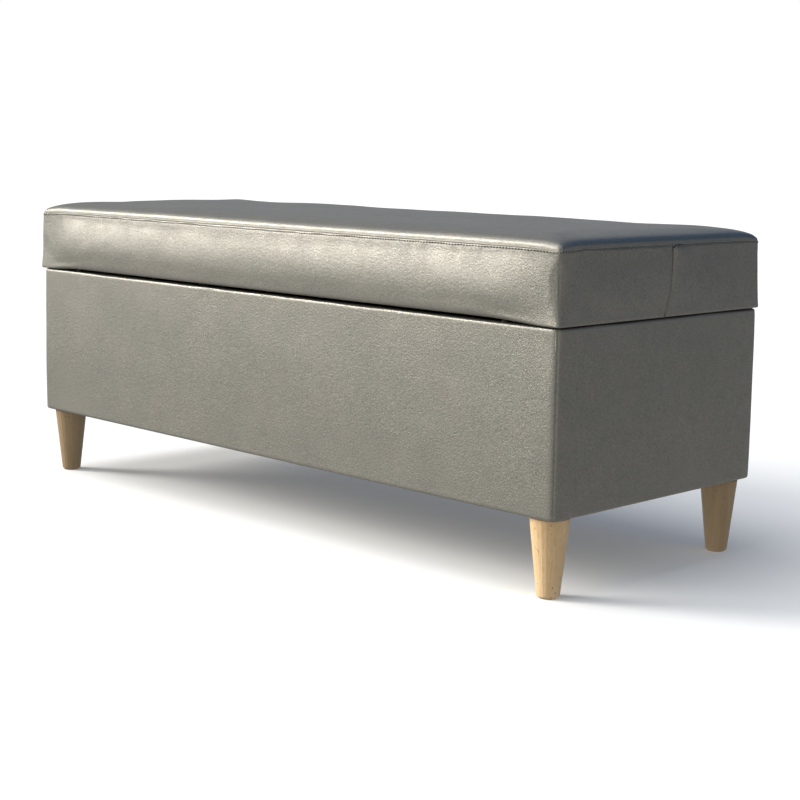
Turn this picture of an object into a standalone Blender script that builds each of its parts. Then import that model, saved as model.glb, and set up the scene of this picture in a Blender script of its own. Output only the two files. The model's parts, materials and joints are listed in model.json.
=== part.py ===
"""Storage bench: a faux-leather box on four turned legs, with a padded lid that hinges at the back.

Metres, +Z up. The origin is on the floor under the middle of the bench. +X runs along its length, -Y is
the front, and the hinge is at +Y. Every physical piece is its own object. The empty lid_pivot lies on the
hinge's axis and carries the lid, and each stay_pivot empty carries one slotted stay arm.
"""

import math

import bmesh
import bpy
from mathutils import Matrix, Vector

# Driving dimensions of the bench
LENGTH = 1.200
DEPTH = 0.455
LEG_TOP = 0.110
BASE_TOP = 0.365
LID_BOTTOM = 0.369
SEAM = 0.466
CROWN_RISE = 0.020
CROWN_WIDTH = 0.070
LID_OVERHANG = 0.004

# Thickness of each material, and the gap that touching pieces keep
GAP = 0.0003
COVER = 0.0012
PADDING = 0.0035
WALL = 0.015
FLOOR = 0.012
LINING = 0.0008
DUST_COVER = 0.0005
LID_BOARD = 0.015
SHEET_STEEL = 0.0012
PLATE_STEEL = 0.002

# Depth of each layer of the base, from the outside of its cover
PADDING_IN = COVER + GAP
WALL_IN = PADDING_IN + PADDING + GAP
ROOM_IN = WALL_IN + WALL
RIM_WIDTH = ROOM_IN + GAP + COVER
LINING_IN = RIM_WIDTH + GAP

# Heights in the base
DUST_BOTTOM = LEG_TOP + GAP
HEM_BOTTOM = DUST_BOTTOM + DUST_COVER + GAP
WALL_BOTTOM = HEM_BOTTOM + COVER + GAP
WALL_TOP = BASE_TOP - COVER - GAP
FLOOR_TOP = WALL_BOTTOM + FLOOR
RIM_LIP = 0.035
LINING_TOP = BASE_TOP - 0.020
BASE_HEM = 0.024
EDGE_RADIUS = 0.005

# Corner posts and legs
POST = 0.030
POST_TOP = BASE_TOP - 0.042
LEG_INSET = 0.0335
LEG_TOP_RADIUS = 0.0277
LEG_FOOT_RADIUS = 0.0160
GLIDE_RADIUS = 0.0125
GLIDE_HEIGHT = 0.0012
GLIDE_EDGE = 0.0004
GLIDE_SPIGOT = (0.0022, 0.0110)
BOLT_RADIUS = 0.0039
BOLT_IN_LEG = 0.0325
BOLT_TOP = 0.1355
TEE_FLANGE = (0.0105, 0.0012)
TEE_BARREL_RADIUS = 0.0050

# Lid
LID_HALF_LENGTH = LENGTH / 2 + LID_OVERHANG
LID_FRONT = -DEPTH / 2 - LID_OVERHANG
LID_REAR = DEPTH / 2
LID_CENTRE = (LID_FRONT + LID_REAR) / 2
LID_HALF_DEPTH = (LID_REAR - LID_FRONT) / 2
LID_CORNER = 0.006
LID_HEM = 0.030
BAND_SEAM_Y = 0.030
WADDING_BOTTOM = LID_BOTTOM + LID_CORNER + 0.0005
BOARD_BOTTOM = LID_BOTTOM + COVER + GAP
BOARD_TOP = BOARD_BOTTOM + LID_BOARD
CORE_IN = 0.0054
LID_LINING = 0.0005
LID_LINING_TOP = LID_BOTTOM - GAP

# Continuous hinge along the back
HINGE_LENGTH = 1.100
KNUCKLES = 22
KNUCKLE_RADIUS = 0.0024
KNUCKLE_BORE = 0.0015
HINGE_PIN_RADIUS = 0.0012
KNUCKLE_GAP = 0.0004
LEAF_WIDTH = 0.016
PIVOT = Vector((0, -LID_FRONT - KNUCKLE_RADIUS, (BASE_TOP + LID_BOTTOM) / 2))
LEAF_REAR = PIVOT.y - KNUCKLE_RADIUS - 0.0005
LEAF_SCREW_Y = LEAF_REAR - LEAF_WIDTH * 0.65
LEAF_SCREWS_X = [-0.450, -0.150, 0.150, 0.450]
LID_SCREW_SHIFT = 0.025
SCREW_HEAD_RADIUS = 0.0030
SCREW_RADIUS = 0.0015
SCREW_LENGTH = 0.0130

# Slotted lid stays. The pivot on the lid and the stud on the end wall are equally far from the hinge's
# axis, so each arm turns by exactly half of the lid's angle and its slot slides along the stud.
LID_OPENS = math.radians(95)
STAY_REACH = 0.125
STAY_PIVOT_DROP = 0.013
STAY_START = math.radians(18)
STAY_DIP = math.asin(STAY_PIVOT_DROP / STAY_REACH)
STUD_PLATE_OUTER = LENGTH / 2 - (LINING_IN + LINING + GAP)
STUD_SHOULDER = 0.0015
SIDE_PLAY = 0.001
ARM_OUTER = STUD_PLATE_OUTER - PLATE_STEEL - STUD_SHOULDER - SIDE_PLAY
ARM_HALF_WIDTH = 0.007
PIN_RADIUS = 0.0024
PIN_HOLE = PIN_RADIUS + GAP
HEAD_RADIUS = 0.0050
HEAD_THICKNESS = 0.0014
STUD_PLATE_HALF_WIDTH = 0.011
STUD_PLATE_HALF_HEIGHT = 0.020
SHOULDER_RADIUS = 0.0045
BRACKET_HALF_WIDTH = 0.013
BRACKET_FLANGE = 0.034
EAR_BELOW_PIVOT = 0.009
EAR_CORNER = 0.007
WELD = 0.001
ARM_END = 0.0025
SLOT_SPARE = 0.004
SLOT_STOP = 0.0002

# Rubber buttons that the lid closes on
BUMPER_X = 0.500
BUMPER_RADIUS = 0.006

# Facets
CORNER_STEPS = 3
ROUND_STEPS = 24
SMALL_STEPS = 14
CROWN_STEPS = 6
BAR_END_STEPS = 5
KNUCKLE_STEPS = 10
SHARP_ANGLE = math.radians(35)

FINISHES = {
    "faux_leather": ((0.36, 0.345, 0.31), 0.38, 0.0),
    "plywood": ((0.62, 0.47, 0.30), 0.65, 0.0),
    "softwood": ((0.72, 0.56, 0.36), 0.65, 0.0),
    "beech": ((0.66, 0.45, 0.26), 0.45, 0.0),
    "foam": ((0.84, 0.81, 0.68), 0.95, 0.0),
    "wadding": ((0.90, 0.90, 0.88), 1.0, 0.0),
    "black_cloth": ((0.02, 0.02, 0.022), 0.95, 0.0),
    "zinc_steel": ((0.62, 0.62, 0.60), 0.35, 1.0),
    "rubber": ((0.03, 0.03, 0.03), 0.8, 0.0),
    "nylon": ((0.12, 0.11, 0.10), 0.5, 0.0),
}


# ---------------------------------------------------------------- scene, materials and parenting


def clear_scene():
    for old in list(bpy.data.objects):
        bpy.data.objects.remove(old)


def make_collection(name):
    collection = bpy.data.collections.new(name)
    bpy.context.scene.collection.children.link(collection)
    return collection


def make_material(name, colour, roughness, metallic):
    material = bpy.data.materials.new(name)
    material.use_nodes = True
    shader = material.node_tree.nodes["Principled BSDF"]
    shader.inputs["Base Color"].default_value = (*colour, 1)
    shader.inputs["Roughness"].default_value = roughness
    shader.inputs["Metallic"].default_value = metallic
    return material


def make_pivot(name, location, parent=None):
    """An empty on a joint's axis. What turns about that axis is parented to it."""
    empty = bpy.data.objects.new(name, None)
    PARTS.objects.link(empty)
    empty.location = location
    bpy.context.view_layer.update()
    if parent is not None:
        attach(empty, parent)
    return empty


def attach(child, parent):
    """Parents the child and leaves it where it is."""
    bpy.context.view_layer.update()
    child.parent = parent
    child.matrix_parent_inverse = parent.matrix_world.inverted()
    bpy.context.view_layer.update()


def make_object(name, mesh_builder, finish, pivot=None, location=(0, 0, 0), turn_x=0.0):
    """Turns a bmesh into a named part with its material, smooth but for its sharp edges."""
    mesh = bpy.data.meshes.new(name)
    mesh_builder.to_mesh(mesh)
    mesh_builder.free()
    mesh.materials.append(MATERIALS[finish])
    mesh.shade_smooth()
    mesh.set_sharp_from_angle(angle=SHARP_ANGLE)
    part = bpy.data.objects.new(name, mesh)
    PARTS.objects.link(part)
    part.location = location
    part.rotation_euler = (turn_x, 0, 0)
    if pivot is not None:
        attach(part, pivot)
    return part


def add_solidify(part, thickness):
    """Gives an open surface its thickness on the side away from its normals."""
    solidify = part.modifiers.new("thickness", "SOLIDIFY")
    solidify.thickness = thickness
    solidify.offset = -1
    solidify.solidify_mode = "NON_MANIFOLD"
    solidify.nonmanifold_thickness_mode = "CONSTRAINTS"


# ---------------------------------------------------------------- shapes


def box_mesh(low, high):
    low, high = Vector(low), Vector(high)
    mesh = bmesh.new()
    bmesh.ops.create_cube(mesh, size=1)
    bmesh.ops.scale(mesh, vec=high - low, verts=mesh.verts)
    bmesh.ops.translate(mesh, vec=(low + high) / 2, verts=mesh.verts)
    return mesh


def make_box(name, low, high, finish, pivot=None):
    return make_object(name, box_mesh(low, high), finish, pivot)


def make_turned(name, profile, location, finish, pivot=None, closed=False, steps=ROUND_STEPS):
    """A profile of (radius, height) points, down its outer side, turned round Z by a Screw modifier."""
    outline = bpy.data.meshes.new(f"{name}_profile")
    ends = [(i, i + 1) for i in range(len(profile) - 1)]
    if closed:
        ends.append((len(profile) - 1, 0))
    outline.from_pydata([(radius, 0, height) for radius, height in profile], ends, [])
    part = bpy.data.objects.new(name, outline)
    PARTS.objects.link(part)
    screw = part.modifiers.new("turn", "SCREW")
    screw.steps = steps
    screw.render_steps = steps
    screw.use_merge_vertices = True
    screw.merge_threshold = 0.00001
    bpy.context.view_layer.update()
    turned = part.evaluated_get(bpy.context.evaluated_depsgraph_get())
    part.data = bpy.data.meshes.new_from_object(turned)
    part.modifiers.clear()
    part.data.materials.append(MATERIALS[finish])
    part.data.shade_smooth()
    part.data.set_sharp_from_angle(angle=SHARP_ANGLE)
    part.location = location
    if pivot is not None:
        attach(part, pivot)
    return part


def rounded_box_mesh(low, high, radius):
    """A box with all its edges and corners rounded."""
    mesh = box_mesh(low, high)
    bmesh.ops.bevel(
        mesh, geom=mesh.edges[:], offset=radius, segments=CORNER_STEPS, profile=0.5, affect="EDGES"
    )
    return mesh


def open_face(mesh, upwards, border):
    """Insets the mesh's top or bottom face by a border and opens what is inside it. Returns its edges."""
    face = max(mesh.faces, key=lambda face: face.normal.z * face.calc_area() * (1 if upwards else -1))
    bmesh.ops.inset_region(mesh, faces=[face], thickness=border, use_even_offset=True)
    edges = face.edges[:]
    bmesh.ops.delete(mesh, geom=[face], context="FACES_ONLY")
    return edges


def keep_below(mesh, point, normal):
    """Cuts the mesh at a plane and keeps the side that the plane's normal points away from."""
    everything = mesh.verts[:] + mesh.edges[:] + mesh.faces[:]
    bmesh.ops.bisect_plane(mesh, geom=everything, plane_co=point, plane_no=normal, clear_outer=True)


def bar_mesh(length, half_width, thickness):
    """A flat bar with round ends, whose end centres lie at 0 and at -length up its Z axis."""
    low = (-thickness / 2, -half_width, -length - half_width)
    mesh = box_mesh(low, (thickness / 2, half_width, half_width))
    ends = [edge for edge in mesh.edges if abs(edge.verts[0].co.x - edge.verts[1].co.x) > thickness / 2]
    bmesh.ops.bevel(
        mesh, geom=ends, offset=half_width, segments=BAR_END_STEPS, profile=0.5, affect="EDGES"
    )
    bmesh.ops.remove_doubles(mesh, verts=mesh.verts, dist=0.00001)
    return mesh


def loft_mesh(rings, close_start=False, close_end=False):
    """Faces between rings of points that run anticlockwise, seen from above, and from the bottom up."""
    mesh = bmesh.new()
    loops = [[mesh.verts.new(point) for point in ring] for ring in rings]
    count = len(loops[0])
    for lower, upper in zip(loops, loops[1:]):
        for i in range(count):
            j = (i + 1) % count
            mesh.faces.new((lower[i], lower[j], upper[j], upper[i]))
    if close_start:
        mesh.faces.new(reversed(loops[0]))
    if close_end:
        mesh.faces.new(loops[-1])
    return mesh


def rounded_ring(half_x, half_y, radius, height, centre_y=0.0):
    """A rectangle with round corners, at one height."""
    ring = []
    for quarter, (side_x, side_y) in enumerate([(1, 1), (-1, 1), (-1, -1), (1, -1)]):
        for step in range(CORNER_STEPS + 1):
            angle = math.pi / 2 * (quarter + step / CORNER_STEPS)
            x = side_x * (half_x - radius) + radius * math.cos(angle)
            y = side_y * (half_y - radius) + radius * math.sin(angle)
            ring.append((x, centre_y + y, height))
    return ring


# ---------------------------------------------------------------- cutting


def cut(part, cutter_mesh, cutter_name, location=(0, 0, 0), turn_x=0.0, operation="DIFFERENCE"):
    """Cuts a hidden helper shape from the part, or joins it on."""
    mesh = bpy.data.meshes.new(cutter_name)
    cutter_mesh.to_mesh(mesh)
    cutter_mesh.free()
    cutter = bpy.data.objects.new(cutter_name, mesh)
    CUTTERS.objects.link(cutter)
    cutter.location = location
    cutter.rotation_euler = (turn_x, 0, 0)
    cutter.hide_render = True
    cutter.display_type = "WIRE"
    boolean = part.modifiers.new(cutter_name, "BOOLEAN")
    boolean.operation = operation
    boolean.object = cutter


def rods_mesh(centres, axis, bottom_radius, top_radius, start, end, steps=SMALL_STEPS):
    """Rods or cones along axis X or Z, one at each centre, from start to end along it."""
    mesh = bmesh.new()
    turn = Matrix.Rotation(math.pi / 2, 4, "Y") if axis == "X" else Matrix.Identity(4)
    along = Vector((1, 0, 0)) if axis == "X" else Vector((0, 0, 1))
    for centre in centres:
        bmesh.ops.create_cone(
            mesh,
            cap_ends=True,
            segments=steps,
            radius1=bottom_radius,
            radius2=top_radius,
            depth=end - start,
            matrix=Matrix.Translation(Vector(centre) + along * (start + end) / 2) @ turn,
        )
    return mesh


def drill(part, name, centres, radius, start, end, axis="Z"):
    cut(part, rods_mesh(centres, axis, radius, radius, start, end), name)


# ---------------------------------------------------------------- base


def corners(inset):
    """The four corners of the base at this inset, each with its name."""
    x, y = LENGTH / 2 - inset, DEPTH / 2 - inset
    return [
        ("front_left", Vector((-x, -y, 0))),
        ("front_right", Vector((x, -y, 0))),
        ("rear_left", Vector((-x, y, 0))),
        ("rear_right", Vector((x, y, 0))),
    ]


def build_panels():
    outer_x, outer_y = LENGTH / 2 - WALL_IN, DEPTH / 2 - WALL_IN
    inner_x, inner_y = LENGTH / 2 - ROOM_IN, DEPTH / 2 - ROOM_IN
    make_box("front_panel", (-outer_x, -outer_y, WALL_BOTTOM), (outer_x, -inner_y, WALL_TOP), "plywood")
    back = make_box("back_panel", (-outer_x, inner_y, WALL_BOTTOM), (outer_x, outer_y, WALL_TOP), "plywood")
    screw_depth = SCREW_LENGTH + 0.001
    holes = [(x, LEAF_SCREW_Y, WALL_TOP) for x in LEAF_SCREWS_X]
    drill(back, "back_panel_pilot_holes", holes, SCREW_RADIUS + GAP, -screw_depth, 0.001)
    for side, name in ((-1, "left_end_panel"), (1, "right_end_panel")):
        low_x, high_x = sorted((side * inner_x, side * outer_x))
        edge = inner_y - GAP
        make_box(name, (low_x, -edge, WALL_BOTTOM), (high_x, edge, WALL_TOP), "plywood")
    floor_x, floor_y = inner_x - GAP, inner_y - GAP
    low, high = (-floor_x, -floor_y, WALL_BOTTOM), (floor_x, floor_y, FLOOR_TOP)
    floor = make_box("floor_panel", low, high, "plywood")
    centres = [corner for _, corner in corners(LEG_INSET)]
    drill(floor, "tee_nut_holes", centres, TEE_BARREL_RADIUS + GAP, LEG_TOP, FLOOR_TOP + 0.001)


def build_corner_posts():
    """Square posts in the inner corners. Each is bored over the end of its leg bolt and its tee nut."""
    flange_radius, flange_height = TEE_FLANGE
    for (name, outer), (_, inner), (_, leg) in zip(
        corners(ROOM_IN + GAP), corners(ROOM_IN + GAP + POST), corners(LEG_INSET)
    ):
        low = (min(outer.x, inner.x), min(outer.y, inner.y), FLOOR_TOP + GAP)
        high = (max(outer.x, inner.x), max(outer.y, inner.y), POST_TOP)
        post = make_box(f"corner_post_{name}", low, high, "softwood")
        pocket_top = FLOOR_TOP + GAP + flange_height + GAP
        drill(post, f"flange_pocket_{name}", [leg], flange_radius + GAP, FLOOR_TOP - 0.001, pocket_top)
        drill(post, f"bolt_hole_{name}", [leg], BOLT_RADIUS + 0.0008, FLOOR_TOP - 0.001, BOLT_TOP + 0.002)


def build_padding():
    """Foam sheet on the outside of each panel. It stops short of the cover's round edges."""
    outer_x, outer_y = LENGTH / 2 - PADDING_IN, DEPTH / 2 - PADDING_IN
    inner_x, inner_y = LENGTH / 2 - WALL_IN + GAP, DEPTH / 2 - WALL_IN + GAP
    bottom, top = HEM_BOTTOM + WALL_IN, BASE_TOP - WALL_IN
    make_box("front_padding", (-inner_x + GAP, -outer_y, bottom), (inner_x - GAP, -inner_y, top), "foam")
    make_box("back_padding", (-inner_x + GAP, inner_y, bottom), (inner_x - GAP, outer_y, top), "foam")
    edge = inner_y - GAP
    make_box("left_end_padding", (-outer_x, -edge, bottom), (-inner_x, edge, top), "foam")
    make_box("right_end_padding", (inner_x, -edge, bottom), (outer_x, edge, top), "foam")


def build_base_cover():
    """One sleeve of faux leather: hemmed under the box, up the outside, over the rim and down the inside."""
    low = (-LENGTH / 2, -DEPTH / 2, HEM_BOTTOM)
    sleeve = rounded_box_mesh(low, (LENGTH / 2, DEPTH / 2, BASE_TOP), EDGE_RADIUS)
    open_face(sleeve, upwards=False, border=BASE_HEM - EDGE_RADIUS)
    rim = open_face(sleeve, upwards=True, border=RIM_WIDTH - EDGE_RADIUS)
    pulled = bmesh.ops.extrude_edge_only(sleeve, edges=rim)["geom"]
    lip = [part for part in pulled if isinstance(part, bmesh.types.BMVert)]
    bmesh.ops.translate(sleeve, vec=(0, 0, -RIM_LIP), verts=lip)
    cover = make_object("base_cover", sleeve, "faux_leather")
    add_solidify(cover, COVER)
    holes = [(x, LEAF_SCREW_Y, BASE_TOP) for x in LEAF_SCREWS_X]
    drill(cover, "rim_screw_holes", holes, SCREW_RADIUS + 0.0004, -0.003, 0.002)


def build_linings():
    """Black cloth: a tray inside the box, notched round the corner posts, and the sheet under the box."""
    wall_x, wall_y = LENGTH / 2 - LINING_IN, DEPTH / 2 - LINING_IN
    post_x, post_y = (half - (ROOM_IN + POST + 2 * GAP) for half in (LENGTH / 2, DEPTH / 2))
    outline = [(wall_x, -post_y), (wall_x, post_y), (post_x, post_y), (post_x, wall_y)]
    outline += [(-post_x, wall_y), (-post_x, post_y), (-wall_x, post_y), (-wall_x, -post_y)]
    outline += [(-post_x, -post_y), (-post_x, -wall_y), (post_x, -wall_y), (post_x, -post_y)]
    rings = [[(x, y, height) for x, y in outline] for height in (FLOOR_TOP + GAP, LINING_TOP)]
    lining = make_object("storage_lining", loft_mesh(rings, close_start=True), "black_cloth")
    add_solidify(lining, LINING)

    x, y = LENGTH / 2 - BASE_HEM / 2, DEPTH / 2 - BASE_HEM / 2
    sheet = make_box("dust_cover", (-x, -y, DUST_BOTTOM), (x, y, DUST_BOTTOM + DUST_COVER), "black_cloth")
    centres = [corner for _, corner in corners(LEG_INSET)]
    drill(sheet, "dust_cover_holes", centres, TEE_BARREL_RADIUS, LEG_TOP - 0.002, LEG_TOP + 0.003)


def build_legs():
    """Four turned legs, each on a hanger bolt in a tee nut, with a nylon glide under its foot."""
    foot = GLIDE_HEIGHT + GAP
    hole, spigot_hole = BOLT_RADIUS + GAP, GLIDE_SPIGOT[0] + GAP
    hole_bottom = LEG_TOP - BOLT_IN_LEG - 0.001
    leg_profile = [(0, hole_bottom), (hole, hole_bottom), (hole, LEG_TOP), (LEG_TOP_RADIUS - 0.001, LEG_TOP)]
    leg_profile += [(LEG_TOP_RADIUS, LEG_TOP - 0.001), (LEG_FOOT_RADIUS, foot + 0.002)]
    leg_profile += [(LEG_FOOT_RADIUS - 0.0015, foot), (spigot_hole, foot)]
    leg_profile += [(spigot_hole, GLIDE_SPIGOT[1] + GAP), (0, GLIDE_SPIGOT[1] + GAP)]

    bolt_bottom = LEG_TOP - BOLT_IN_LEG
    bolt_profile = [(0, BOLT_TOP), (BOLT_RADIUS - 0.0008, BOLT_TOP), (BOLT_RADIUS, BOLT_TOP - 0.0008)]
    bolt_profile += [(BOLT_RADIUS, bolt_bottom + 0.007), (0, bolt_bottom)]

    flange_radius, flange_height = TEE_FLANGE
    flange_bottom = FLOOR_TOP + GAP
    tee_profile = [(flange_radius, flange_bottom + flange_height), (flange_radius, flange_bottom)]
    tee_profile += [(TEE_BARREL_RADIUS, flange_bottom), (TEE_BARREL_RADIUS, WALL_BOTTOM + GAP)]
    tee_profile += [(hole, WALL_BOTTOM + GAP), (hole, flange_bottom + flange_height)]

    glide_profile = [(0, GLIDE_SPIGOT[1]), GLIDE_SPIGOT, (GLIDE_SPIGOT[0], GLIDE_HEIGHT)]
    glide_profile += [(GLIDE_RADIUS, GLIDE_HEIGHT), (GLIDE_RADIUS, GLIDE_EDGE)]
    glide_profile += [(GLIDE_RADIUS - GLIDE_EDGE, 0), (0, 0)]

    for name, centre in corners(LEG_INSET):
        make_turned(f"leg_{name}", leg_profile, centre, "beech")
        make_turned(f"leg_bolt_{name}", bolt_profile, centre, "zinc_steel", steps=SMALL_STEPS)
        make_turned(f"tee_nut_{name}", tee_profile, centre, "zinc_steel", closed=True, steps=SMALL_STEPS)
        make_turned(f"glide_{name}", glide_profile, centre, "nylon", steps=SMALL_STEPS)


def build_bumpers():
    """Rubber buttons on the front rim."""
    bottom, top = BASE_TOP + GAP, LID_BOTTOM - GAP
    profile = [(0, top), (BUMPER_RADIUS - 0.0015, top), (BUMPER_RADIUS, top - 0.0015)]
    profile += [(BUMPER_RADIUS, bottom), (0, bottom)]
    y = -(DEPTH / 2 - RIM_WIDTH / 2)
    for side, name in ((-1, "left"), (1, "right")):
        make_turned(f"lid_bumper_{name}", profile, (side * BUMPER_X, y, 0), "rubber", steps=SMALL_STEPS)


# ---------------------------------------------------------------- lid


def crown_rings(inset, drop):
    """Rings of the padded top, which rises steeply from the seam and rounds over to nearly flat."""
    rings = []
    for step in range(CROWN_STEPS + 1):
        angle = math.pi / 2 * step / CROWN_STEPS
        along = CROWN_WIDTH * (1 - math.cos(angle))
        height = SEAM + CROWN_RISE * math.sin(angle) - drop
        radius = LID_CORNER - min(inset, 0.005) + 0.4 * along
        half_x, half_y = LID_HALF_LENGTH - inset - along, LID_HALF_DEPTH - inset - along
        rings.append(rounded_ring(half_x, half_y, radius, height, LID_CENTRE))
    return rings


def wall_ring(inset, height, radius):
    """A ring of the lid's upright sides."""
    return rounded_ring(LID_HALF_LENGTH - inset, LID_HALF_DEPTH - inset, radius, height, LID_CENTRE)


def build_lid_core():
    """The board, the foam block on it, and the wadding that wraps both."""
    half_x = LID_HALF_LENGTH - CORE_IN
    low = (-half_x, LID_FRONT + CORE_IN, BOARD_BOTTOM)
    high = (half_x, LID_REAR - CORE_IN, BOARD_TOP)
    board = make_box("lid_board", low, high, "plywood", LID_PIVOT)
    holes = [(x + LID_SCREW_SHIFT, LEAF_SCREW_Y, BOARD_BOTTOM) for x in LEAF_SCREWS_X]
    drill(board, "lid_board_pilot_holes", holes, SCREW_RADIUS + GAP, -0.001, SCREW_LENGTH)

    foam_rings = [wall_ring(CORE_IN, BOARD_TOP + GAP, 0.001)] + crown_rings(CORE_IN, WALL_IN)
    foam = loft_mesh(foam_rings, close_start=True, close_end=True)
    make_object("lid_foam", foam, "foam", LID_PIVOT)

    wadding_rings = [wall_ring(PADDING_IN, WADDING_BOTTOM, LID_CORNER - PADDING_IN)]
    wadding_rings += crown_rings(PADDING_IN, PADDING_IN)
    wadding = make_object("lid_wadding", loft_mesh(wadding_rings, close_end=True), "wadding", LID_PIVOT)
    add_solidify(wadding, PADDING)


def build_lid_cover():
    """The top panel, and the boxing band in two lengths that meet at a sewn joint on each end."""
    first, *rest = crown_rings(0, 0)
    edge = [[(x, y, SEAM + height) for x, y, _ in first] for height in (GAP, COVER + GAP)]
    rings = edge + rest
    top = make_object("lid_top_cover", loft_mesh(rings, close_end=True), "faux_leather", LID_PIVOT)
    add_solidify(top, COVER)

    low = (-LID_HALF_LENGTH, LID_FRONT, LID_BOTTOM)
    high = (LID_HALF_LENGTH, LID_REAR, SEAM + 2 * LID_CORNER)
    holes = [(x + LID_SCREW_SHIFT, LEAF_SCREW_Y, LID_BOTTOM) for x in LEAF_SCREWS_X]
    for name, way in (("lid_band_front", 1), ("lid_band_rear", -1)):
        strip = rounded_box_mesh(low, high, LID_CORNER)
        open_face(strip, upwards=False, border=LID_HEM - LID_CORNER)
        keep_below(strip, (0, 0, SEAM), (0, 0, 1))
        keep_below(strip, (0, BAND_SEAM_Y - way * GAP / 2, 0), (0, way, 0))
        band = make_object(name, strip, "faux_leather", LID_PIVOT)
        add_solidify(band, COVER)
        if name == "lid_band_rear":
            drill(band, "lid_hem_screw_holes", holes, SCREW_RADIUS + 0.0004, -0.002, 0.003)


def build_lid_lining():
    half_x = LID_HALF_LENGTH - LID_HEM + 0.010
    low = (-half_x, LID_FRONT + LID_HEM - 0.010, LID_LINING_TOP - LID_LINING)
    high = (half_x, LEAF_REAR - LEAF_WIDTH - 0.002, LID_LINING_TOP)
    make_box("lid_lining", low, high, "black_cloth", LID_PIVOT)


# ---------------------------------------------------------------- hinge


def build_leaf(name, bottom, knuckle_parity, screws_x, head_up, pivot=None):
    """A leaf of the continuous hinge: a strip with every second knuckle, bored for pin and screws."""
    half = HINGE_LENGTH / 2
    strip_low = (-half, LEAF_REAR - LEAF_WIDTH, bottom)
    strip_high = (half, PIVOT.y, bottom + SHEET_STEEL)
    leaf = make_box(name, strip_low, strip_high, "zinc_steel", pivot)
    axis = [(0, PIVOT.y, PIVOT.z)]
    barrel = rods_mesh(axis, "X", KNUCKLE_RADIUS, KNUCKLE_RADIUS, -half, half, KNUCKLE_STEPS)
    cut(leaf, barrel, f"{name}_barrel", operation="UNION")
    bore = rods_mesh(axis, "X", KNUCKLE_BORE, KNUCKLE_BORE, -half - 0.01, half + 0.01, KNUCKLE_STEPS)
    cut(leaf, bore, f"{name}_bore")

    pitch = HINGE_LENGTH / KNUCKLES
    notches = bmesh.new()
    for index in range(1 - knuckle_parity, KNUCKLES, 2):
        start = -half + index * pitch - (KNUCKLE_GAP if index else 0.01)
        end = -half + (index + 1) * pitch + (KNUCKLE_GAP if index < KNUCKLES - 1 else 0.01)
        centre = Vector(((start + end) / 2, LEAF_REAR + 0.005, PIVOT.z))
        size = Vector((end - start, 0.010, 0.012))
        created = bmesh.ops.create_cube(notches, size=1)["verts"]
        bmesh.ops.scale(notches, vec=size, verts=created)
        bmesh.ops.translate(notches, vec=centre, verts=created)
    cut(leaf, notches, f"{name}_notches")

    wide, narrow = SCREW_HEAD_RADIUS + 0.0004, SCREW_RADIUS + 0.0004
    radii = (narrow, wide) if head_up else (wide, narrow)
    centres = [(x, LEAF_SCREW_Y, bottom) for x in screws_x]
    cut(leaf, rods_mesh(centres, "Z", *radii, -0.0001, SHEET_STEEL + 0.0001), f"{name}_screw_holes")


def build_screws(name, screws_x, face, head_up, pivot=None):
    """Countersunk screws whose heads lie flush in the leaf's open face."""
    way = 1 if head_up else -1
    profile = [(0, 0), (SCREW_HEAD_RADIUS, 0), (SCREW_RADIUS, -SHEET_STEEL)]
    profile += [(SCREW_RADIUS, -SCREW_LENGTH + 0.003), (0, -SCREW_LENGTH)]
    if not head_up:
        profile = [(radius, -height) for radius, height in reversed(profile)]
    for index, x in enumerate(screws_x):
        place = (x, LEAF_SCREW_Y, face - way * 0.0001)
        make_turned(f"{name}_{index + 1}", profile, place, "zinc_steel", pivot, steps=SMALL_STEPS)


def build_hinge():
    base_leaf = BASE_TOP + GAP
    lid_leaf = LID_BOTTOM - GAP - SHEET_STEEL
    lid_screws_x = [x + LID_SCREW_SHIFT for x in LEAF_SCREWS_X]
    build_leaf("hinge_base_leaf", base_leaf, 0, LEAF_SCREWS_X, head_up=True)
    build_leaf("hinge_lid_leaf", lid_leaf, 1, lid_screws_x, head_up=False, pivot=LID_PIVOT)
    build_screws("hinge_base_screw", LEAF_SCREWS_X, base_leaf + SHEET_STEEL, head_up=True)
    build_screws("hinge_lid_screw", lid_screws_x, lid_leaf, head_up=False, pivot=LID_PIVOT)
    axis = [(0, PIVOT.y, PIVOT.z)]
    half = HINGE_LENGTH / 2
    pin = rods_mesh(axis, "X", HINGE_PIN_RADIUS, HINGE_PIN_RADIUS, -half, half)
    make_object("hinge_pin", pin, "zinc_steel")


# ---------------------------------------------------------------- lid stays


def stay_point(dip):
    """A point at the stays' reach in front of the hinge's axis, at this dip below the horizontal."""
    return Vector((0, PIVOT.y - STAY_REACH * math.cos(dip), PIVOT.z - STAY_REACH * math.sin(dip)))


def build_stud_plate(name, across, stud):
    """Plate on the end wall, with the shouldered stud that the arm's slot slides on."""
    low_x, high_x = across(STUD_PLATE_OUTER, STUD_PLATE_OUTER - PLATE_STEEL)
    low = (low_x, stud.y - STUD_PLATE_HALF_WIDTH, stud.z - STUD_PLATE_HALF_HEIGHT)
    high = (high_x, stud.y + STUD_PLATE_HALF_WIDTH, stud.z + STUD_PLATE_HALF_HEIGHT)
    plate = make_box(f"stay_stud_plate_{name}", low, high, "zinc_steel")
    head_outer = ARM_OUTER - PLATE_STEEL - SIDE_PLAY
    rods = [
        ("shoulder", SHOULDER_RADIUS, across(STUD_PLATE_OUTER - WELD, ARM_OUTER + SIDE_PLAY)),
        ("shaft", PIN_RADIUS, across(ARM_OUTER + SIDE_PLAY + WELD, head_outer - WELD)),
        ("head", HEAD_RADIUS, across(head_outer, head_outer - HEAD_THICKNESS)),
    ]
    for label, radius, ends in rods:
        rod = rods_mesh([(0, stud.y, stud.z)], "X", radius, radius, *ends)
        cut(plate, rod, f"stud_{label}_{name}", operation="UNION")


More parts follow.
